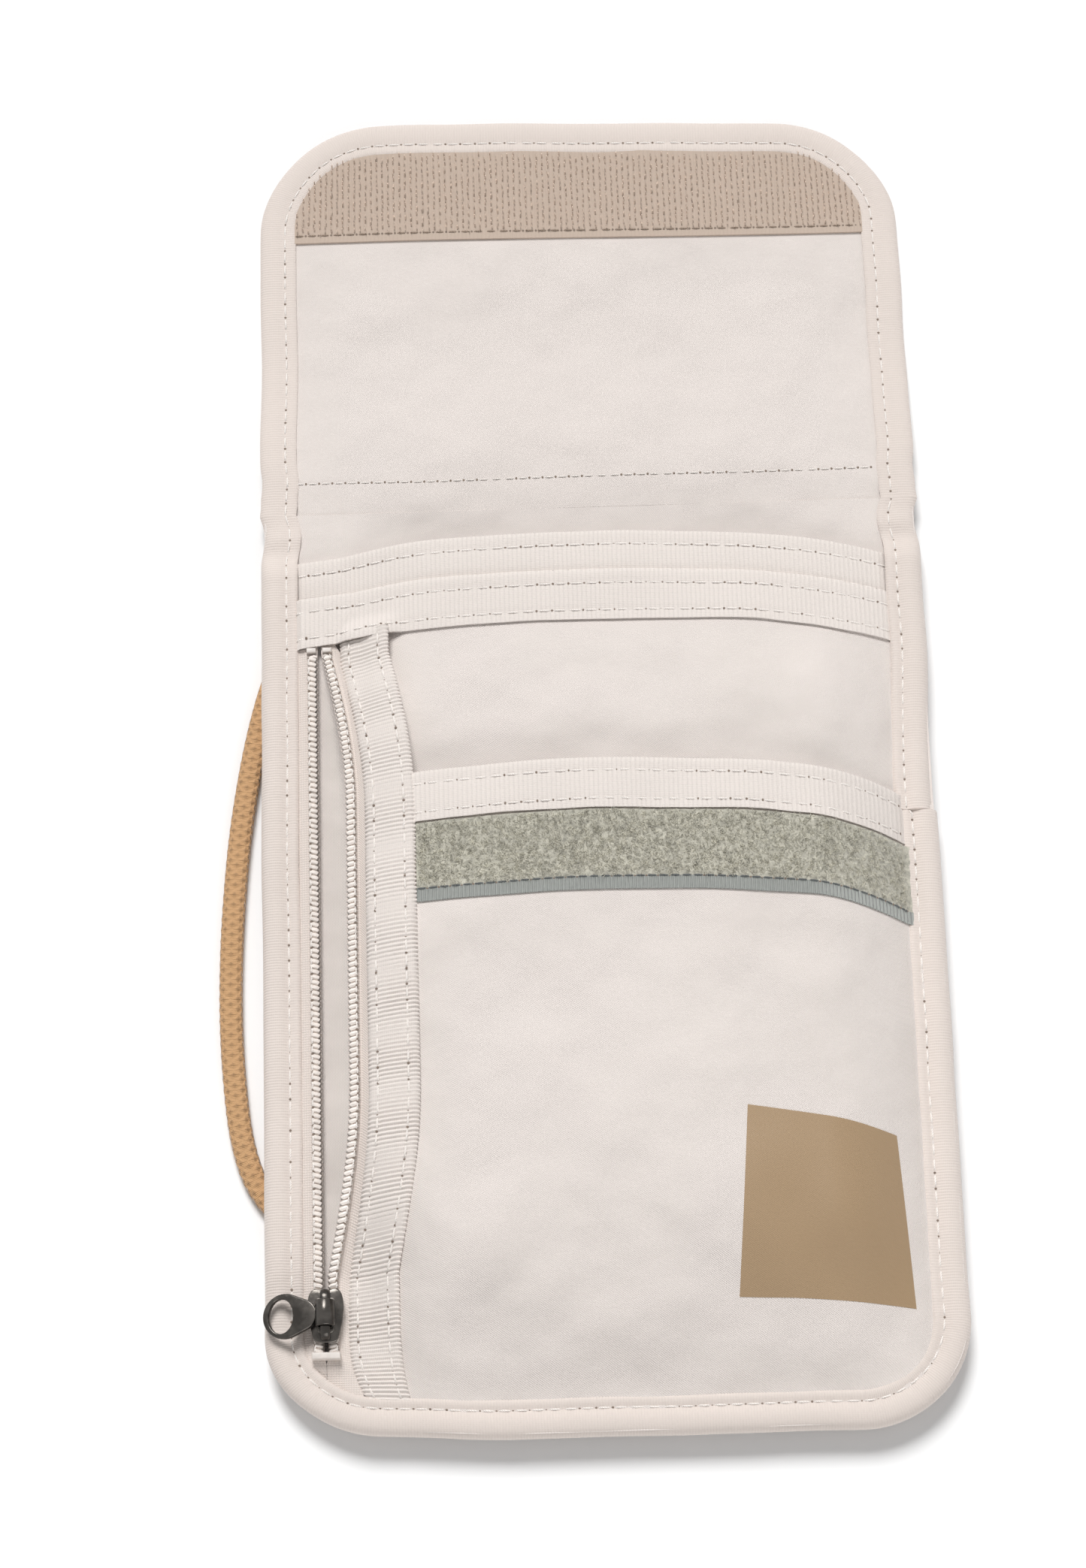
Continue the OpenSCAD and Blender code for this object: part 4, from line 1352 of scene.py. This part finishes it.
HOOK_LOW = span("hook_strip")[0].y
HOOK_HIGH = span("hook_strip")[1].y
HOOK_Z = FLAP_LINING + LINING_T
HOOK_BASE_T = 0.5
HOOK_SELVAGE = 2.6


def inner_flap_half(y):
    r = FLAP_R - BIND_W + 0.8
    past = y - (Y_FREE - FLAP_R)
    return HALF_W - BIND_W + 0.8 - (0 if past <= 0 else r - math.sqrt(max(0.0, r * r - min(r, past) ** 2)))


def make_hook_strip():
    ys = stations(HOOK_LOW, HOOK_HIGH + 0.6, 1.2)

    def xs(y):
        half = inner_flap_half(y)
        return even_xs(y, -half, half, 60)

    strip = cloth_piece("hook_band", xs, ys,
                        lambda x, y: (x, y, HOOK_Z + HOOK_BASE_T + 0.08 * ripple(x, y, 12, 2.0)), HOOK_BASE_T)
    dress(strip, "hook_base")
    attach(strip, "flap")
    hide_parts("hook_strip")
    half = inner_flap_half(HOOK_LOW) - 1
    line = [(x, HOOK_LOW + 1.9, HOOK_Z + HOOK_BASE_T) for x in even_xs(0, -half, half, 40)]
    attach(sew("hook_band_stitches", [line], "hook_thread", 1.9, 0.8, 0.2), "flap")
    draw = random.Random(5)
    lines = []
    col_gap, row_gap = 1.35, 1.15
    cols = int(2 * HALF_W / col_gap)
    for c in range(cols):
        x0 = -HALF_W + (c + 0.5) * col_gap
        y = HOOK_LOW + HOOK_SELVAGE + (c % 2) * row_gap / 2
        while y < HOOK_HIGH - 0.8:
            if abs(x0) < inner_flap_half(y) - 1.0:
                foot = Vector((x0 + draw.uniform(-0.12, 0.12), y + draw.uniform(-0.1, 0.1),
                               HOOK_Z + HOOK_BASE_T - 0.1))
                lean = draw.choice((-1, 1)) * draw.uniform(0.25, 0.4)
                lines.append([foot,
                              foot + Vector((0.02, lean * 0.3, 0.55)),
                              foot + Vector((0.04, lean * 1.1, 0.85)),
                              foot + Vector((0.05, lean * 2.0, 0.62))])
            y += row_gap
    hooks = dress(tube_mesh("hook_fibres", lines, 0.15, 4), "hook_pile")
    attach(hooks, "flap")


make_hook_strip()


def make_flap_seam():
    """The stitch line across the flap, just past the second fold."""
    y = Y_FOLD2 + 0.2
    line = [(x, y, base_z(y) + FLAP_LINING + LINING_T + max(-0.45, flap_waves(x, y)))
            for x in stations(-HALF_W + BIND_W, HALF_W - BIND_W, 2.0)]
    bend_at_flap(sew("flap_seam_stitches", [line], "thread", 2.2, 0.9, 0.2))


make_flap_seam()

# ---------------------------------------------------------------- bare print on the front pocket
PRINT_CORNERS = ((25.6, -130.8), (63.0, -132.3), (60.7, -93.7), (28.9, -90.3))


def make_print():
    n = 24
    sections, uvs = [], []
    a, b, c, d = (Vector(p) for p in PRINT_CORNERS)
    for j in range(n + 1):
        row_low, row_high = a.lerp(d, j / n), b.lerp(c, j / n)
        xs = [row_low.lerp(row_high, i / n) for i in range(n + 1)]
        over = [Vector(pocket_point(p.x, p.y, front_top(p.x, p.y) + 0.09)) for p in xs]
        under = [q - Vector((0, 0, 0.3)) for q in over]
        sections.append(under + over[::-1])
        uvs.append([(p.x, p.y) for p in xs] + [(p.x, p.y) for p in reversed(xs)])
    piece = dress(grid_cloth("bare_print", sections, uvs), "bare_print")
    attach(piece, "pouch")


make_print()


# ---------------------------------------------------------------- zip
ZIP_LOW = Y_BOTTOM + 7.6       # the zip's tapes end under the binding, in its corner
ZIP_HIGH = COIL_HIGH + 2.5
CORNER_KEEP = 21.0              # the tapes stay this near the corner's centre


def coil_up(y):
    return COIL_RISE * EDGE_LIFT * edge_share(y)


def zip_z(y):
    """Underside of the zip's tape, which dips under the binding at its low end."""
    return Z_TAPE - 1.25 * ease((COIL_LOW - 2 - y) / 4)


def inside_corner(x, y):
    down = max(0.0, Y_BOTTOM + BODY_R - y)
    return max(x, -HALF_W + BODY_R - math.sqrt(CORNER_KEEP ** 2 - down ** 2))


def flatten(piece):
    """Gives the piece its own copy of its mesh."""
    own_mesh(piece)


def zip_tape(name, node, ys, row):
    """A zip's tape, from row(y): points of its underside."""
    sections, uvs = [], []
    for y in ys:
        under = row(y)
        over = [p + Vector((0, 0, ZIP_TAPE_T)) for p in under]
        sections.append(under + over[::-1])
        widths = [0.0]
        for p, q in zip(under, under[1:]):
            widths.append(widths[-1] + (q - p).length)
        uvs.append([(w, y) for w in widths] + [(w, y) for w in reversed(widths)])
    piece = dress(grid_cloth(name, sections, uvs), "zip_cloth")
    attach(piece, "pouch")
    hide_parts(node)
    return piece


def left_row(y):
    lip = -HALF_W + BIND_W
    drop = zip_z(y) - Z_TAPE
    profile = [(lip - 4, Z_ZIP), (lip - 0.4, Z_ZIP), (lip + 0.8, Z_TAPE - 0.4), (lip + 2, Z_TAPE),
               (X_ZIP - COIL_OFF + 0.3, Z_TAPE)]
    inner = 0.35 * ease((COIL_LOW - 1 - y) / 1.5)
    return [Vector((inside_corner(x, y) + inner * (z == Z_TAPE), y, max(Z_ZIP - 0.3, z + drop)))
            for x, z in profile]


def right_row(y):
    bow = EDGE_BOW * edge_share(y)
    bow -= 0.38 * ease((COIL_LOW - 1 - y) / 1.5)
    near = [Vector((inside_corner(x + bow, y), y, zip_z(y) + coil_up(y)))
            for x in (X_ZIP + COIL_OFF - 0.3, X_ZIP + 2.0, X_ZIP + 3.4)]
    far = [Vector((x, grid_y(x, y), Z_FRONT + 0.35 + zip_up(x, y)))
           for x in (edge_x(y) + 0.4, edge_x(y) + 3)]
    return near + far


def make_zip_tapes():
    ys = stations(ZIP_LOW, ZIP_HIGH, 1.5)
    zip_tape("zip_tape_left_cloth", "zip_tape_left", ys, left_row)
    flatten(zip_tape("zip_tape_right_cloth", "zip_tape_right", ys, right_row))


COIL_PITCH = 1.2
COIL_WIRE = 0.52
COIL_STEPS = 12


def coil_at(y, side, bowed):
    """Middle of a coil, and the height it rises to."""
    share = edge_share(y) if bowed else 0.0
    middle = X_ZIP + side * (COIL_OFF + COIL_W / 2 - 0.15) + EDGE_BOW * share
    return middle, COIL_Z + COIL_RISE * EDGE_LIFT * share


def make_coil(name, node, side, bowed):
    """A zip coil: a wire wound flat, with its heads towards the other half."""
    line = []
    turns = int((COIL_HIGH - COIL_LOW) / COIL_PITCH)
    for k in range(turns * COIL_STEPS + 1):
        y = COIL_LOW + k / COIL_STEPS * COIL_PITCH
        ang = 2 * math.pi * k / COIL_STEPS
        middle, level = coil_at(y, side, bowed)
        c, s = math.cos(ang), math.sin(ang)
        x = middle - side * math.copysign(abs(c) ** 0.8, c) * (COIL_W / 2 - COIL_WIRE + 0.15)
        z = level + math.copysign(abs(s) ** 0.8, s) * (COIL_H / 2 - COIL_WIRE + 0.05)
        line.append(Vector((x, y, z)))
    piece = dress(tube_mesh(name, [line], COIL_WIRE, 7), "zip_coil")
    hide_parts(node)
    row = []
    for y in stations(COIL_LOW, COIL_HIGH, 2.0):
        middle, level = coil_at(y, side, bowed)
        row.append((middle + side * (COIL_W / 2 - 0.35), y, level + COIL_H / 2 - 0.2))
    sewn = dress(stitches(name + "_stitches", [row], 1.5, 0.5, 0.17), "thread", "needle_hole")
    for part in (piece, sewn):
        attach(part, "pouch")
        if bowed:
            flatten(part)


make_zip_tapes()
make_coil("zip_coil_left_wire", "zip_coil_left", -1, False)
make_coil("zip_coil_right_wire", "zip_coil_right", 1, True)

# slider and puller
PLATE_T = 0.75
Z_TOP_PLATE = COIL_Z + COIL_H / 2 + 0.25
Z_LOW_PLATE = Z_TAPE - 0.2 - PLATE_T
SLIDER_Y = (slider_low.y + slider_high.y) / 2
SLIDER_W = slider_high.x - slider_low.x
SLIDER_L = slider_high.y - slider_low.y
Z_BAIL = slider_high.z - 1.2
PLATE_SHAPE = [(0.0, 0.44), (0.22, 0.5), (0.42, 0.44), (0.5, 0.2), (0.45, -0.1), (0.37, -0.34),
               (0.3, -0.47), (0.0, -0.5)]      # half of it, as shares of width and length


def slider_outline(scale):
    right = [Vector((x, y)) for x, y in PLATE_SHAPE]
    left = [Vector((-p.x, p.y)) for p in reversed(right[1:-1])]
    line = spline(right + left + [right[0]], 4)[:-1]
    return [(p.x * SLIDER_W * scale, p.y * SLIDER_L * scale) for p in line]


def at_slider(z0):
    return lambda x, y, z: Vector((X_ZIP + x, SLIDER_Y + y, z0 + z))


def make_slider():
    outline = slider_outline(1.0)
    parts = [plate_data(outline, [], PLATE_T, 0.2, at_slider(Z_LOW_PLATE + PLATE_T / 2)),
             plate_data(outline, [], PLATE_T, 0.2, at_slider(Z_TOP_PLATE + PLATE_T / 2)),
             plate_data(slider_outline(0.66), [], 0.5, 0.15, at_slider(Z_TOP_PLATE + PLATE_T))]
    for side in (-1, 1):
        wall = [(side * x * SLIDER_W, y * SLIDER_L)
                for x, y in ((0.43, 0.4), (0.49, 0.2), (0.44, -0.1), (0.37, -0.34))]
        inner = [(x - side * 0.75, y) for x, y in wall]
        ring = wall + inner[::-1]
        low, high = Z_TAPE + ZIP_TAPE_T + 0.25, Z_TOP_PLATE + 0.2
        parts.append(plate_data(ring, [], high - low, 0.08, at_slider((low + high) / 2)))
    arch = [(-4.55, 10.4), (-4.75, 11.6), (-4.1, 12.8), (-2.6, Z_BAIL),
            (2.6, Z_BAIL), (4.1, 12.8), (4.75, 11.6), (4.55, 10.4)]
    path = spline([(X_ZIP, SLIDER_Y + y, z) for y, z in arch], 4)
    parts.append(strap_data(path, 2.1, 1.5))
    slider = dress(merged("slider_body", parts), "dark_metal")
    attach(slider, "slider")
    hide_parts("zip_slider")


PULLER_DOWN = 15.0
PULLER_T = 1.4
BIG_END = (8.8, 4.8)        # how far from the hinge, and radius
SMALL_END = (5.0, 3.3)
PULL_HOLE = (9.6, 2.7, 3.7)
BARREL = [(-2.8, 1.5), (-2.8, 1.85), (-2.55, 2.08), (0, 2.1), (2.55, 2.08), (2.8, 1.85), (2.8, 1.5), (0, 1.5)]


def puller_place(a, b, c):
    """From along the puller, across it and through it, to the frame."""
    tip = math.radians(PULLER_DOWN)
    along = Vector((-math.cos(tip), 0, -math.sin(tip)))
    through = Vector((-math.sin(tip), 0, math.cos(tip)))
    return Vector((X_ZIP, SLIDER_Y, Z_BAIL)) + along * a + Vector((0, b, 0)) + through * c


def circle_part(centre, r, a0, a1, steps):
    turns = (math.radians(mix(a0, a1, k / steps)) for k in range(steps + 1))
    return [(centre + r * math.cos(a), r * math.sin(a)) for a in turns]


def make_puller():
    lean = math.degrees(math.asin((BIG_END[1] - SMALL_END[1]) / (BIG_END[0] - SMALL_END[0])))
    outline = circle_part(*BIG_END, -90 - lean, 90 + lean, 30)
    outline += circle_part(*SMALL_END, 90 + lean, 270 - lean, 14)
    centre, ra, rb = PULL_HOLE
    hole = [(centre + ra * math.cos(t), rb * math.sin(t)) for t in (2 * math.pi * k / 32 for k in range(32))]
    parts = [plate_data(outline, [hole], PULLER_T, 0.3, puller_place),
             tube_data(BARREL, 28, puller_place)]
    puller = dress(merged("puller_tab", parts), "dark_metal")
    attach(puller, "puller")
    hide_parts("zip_puller")


make_slider()
make_puller()


def make_stops(name, node, blocks):
    """Small moulded blocks with rounded edges: each is (x, y, z, width, length, height)."""
    parts = []
    for x, y, z, w, l, h in blocks:
        outline = [(sx * w / 2, sy * l / 2) for sx, sy in ((-1, -1), (1, -1), (1, 1), (-1, 1))]
        parts.append(plate_data(outline, [], h, 0.22,
                                lambda a, b, c, x=x, y=y, z=z: Vector((x + a, y + b, z + c))))
    stops = dress(merged(name, parts, True), "zip_stop")
    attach(stops, "pouch")
    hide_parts(node)


stop_low, stop_high = span("zip_bottom_stop")
tops_low, tops_high = span("zip_top_stops")
stop_mid, tops_mid = (stop_low + stop_high) / 2, (tops_low + tops_high) / 2
make_stops("zip_bottom_block", "zip_bottom_stop",
           [(*stop_mid, *(stop_high - stop_low))])
make_stops("zip_top_blocks", "zip_top_stops",
           [(X_ZIP + side * (COIL_OFF + COIL_W / 2), tops_mid.y, tops_mid.z, COIL_W, tops_high.y - tops_low.y,
             tops_high.z - tops_low.z) for side in (-1, 1)])


# ---------------------------------------------------------------- floor, light and world
FLOOR_GLOW = 0.02


def seen_by_camera(tree):
    """1 for the camera, and for what is seen in or through a surface; 0 for light on surfaces."""
    path = tree.nodes.new("ShaderNodeLightPath")
    seen = tree.nodes.new("ShaderNodeMath")
    seen.operation = "MAXIMUM"
    tree.links.new(path.outputs["Is Camera Ray"], seen.inputs[0])
    tree.links.new(path.outputs["Is Glossy Ray"], seen.inputs[1])
    both = tree.nodes.new("ShaderNodeMath")
    both.operation = "MAXIMUM"
    tree.links.new(seen.outputs[0], both.inputs[0])
    tree.links.new(path.outputs["Is Transmission Ray"], both.inputs[1])
    return both.outputs[0]


FLOOR_HALF = 4000
FLOOR_Z = -0.05


def make_floor():
    corners = [(0, 0), (1, 0), (1, 1), (0, 1)]
    verts = [((2 * u - 1) * FLOOR_HALF, (2 * v - 1) * FLOOR_HALF, FLOOR_Z) for u, v in corners]
    floor = new_mesh("floor", verts, [(0, 1, 2, 3)], corners, False)
    material = bpy.data.materials.new("floor")
    material.use_nodes = True
    tree = material.node_tree
    shader = tree.nodes["Principled BSDF"]
    shader.inputs["Base Color"].default_value = (0.93, 0.93, 0.93, 1)
    shader.inputs["Roughness"].default_value = 0.9
    shader.inputs["Specular IOR Level"].default_value = 0.0
    glow = tree.nodes.new("ShaderNodeEmission")
    seen = seen_by_camera(tree)
    gain = tree.nodes.new("ShaderNodeMath")
    gain.operation = "MULTIPLY"
    gain.inputs[1].default_value = FLOOR_GLOW
    tree.links.new(seen, gain.inputs[0])
    tree.links.new(gain.outputs[0], glow.inputs["Strength"])
    both = tree.nodes.new("ShaderNodeAddShader")
    tree.links.new(shader.outputs[0], both.inputs[0])
    tree.links.new(glow.outputs[0], both.inputs[1])
    tree.links.new(both.outputs[0], tree.nodes["Material Output"].inputs["Surface"])
    floor.data.materials.append(material)


def make_world(level):
    world = bpy.data.worlds.new("world")
    bpy.context.scene.world = world
    world.use_nodes = True
    tree = world.node_tree
    back = tree.nodes["Background"]
    back.inputs["Color"].default_value = (1, 1, 1, 1)
    seen = seen_by_camera(tree)
    strength = tree.nodes.new("ShaderNodeMapRange")
    strength.inputs["To Min"].default_value = level
    strength.inputs["To Max"].default_value = 1.0
    tree.links.new(seen, strength.inputs["Value"])
    tree.links.new(strength.outputs["Result"], back.inputs["Strength"])


def make_sun(name, strength, angle, towards):
    data = bpy.data.lights.new(name, "SUN")
    data.energy = strength
    data.angle = math.radians(angle)
    sun = bpy.data.objects.new(name, data)
    bpy.context.scene.collection.objects.link(sun)
    sun.rotation_mode = "QUATERNION"
    sun.rotation_quaternion = Vector(towards).to_track_quat("-Z", "Y")


make_floor()
make_world(0.3)
make_sun("key", 2.85, 24, (0.14, -0.78, -1.0))
make_sun("fill", 1.1, 40, (-0.25, 1.0, -0.36))

scene = bpy.context.scene
scene.view_settings.view_transform = "Standard"
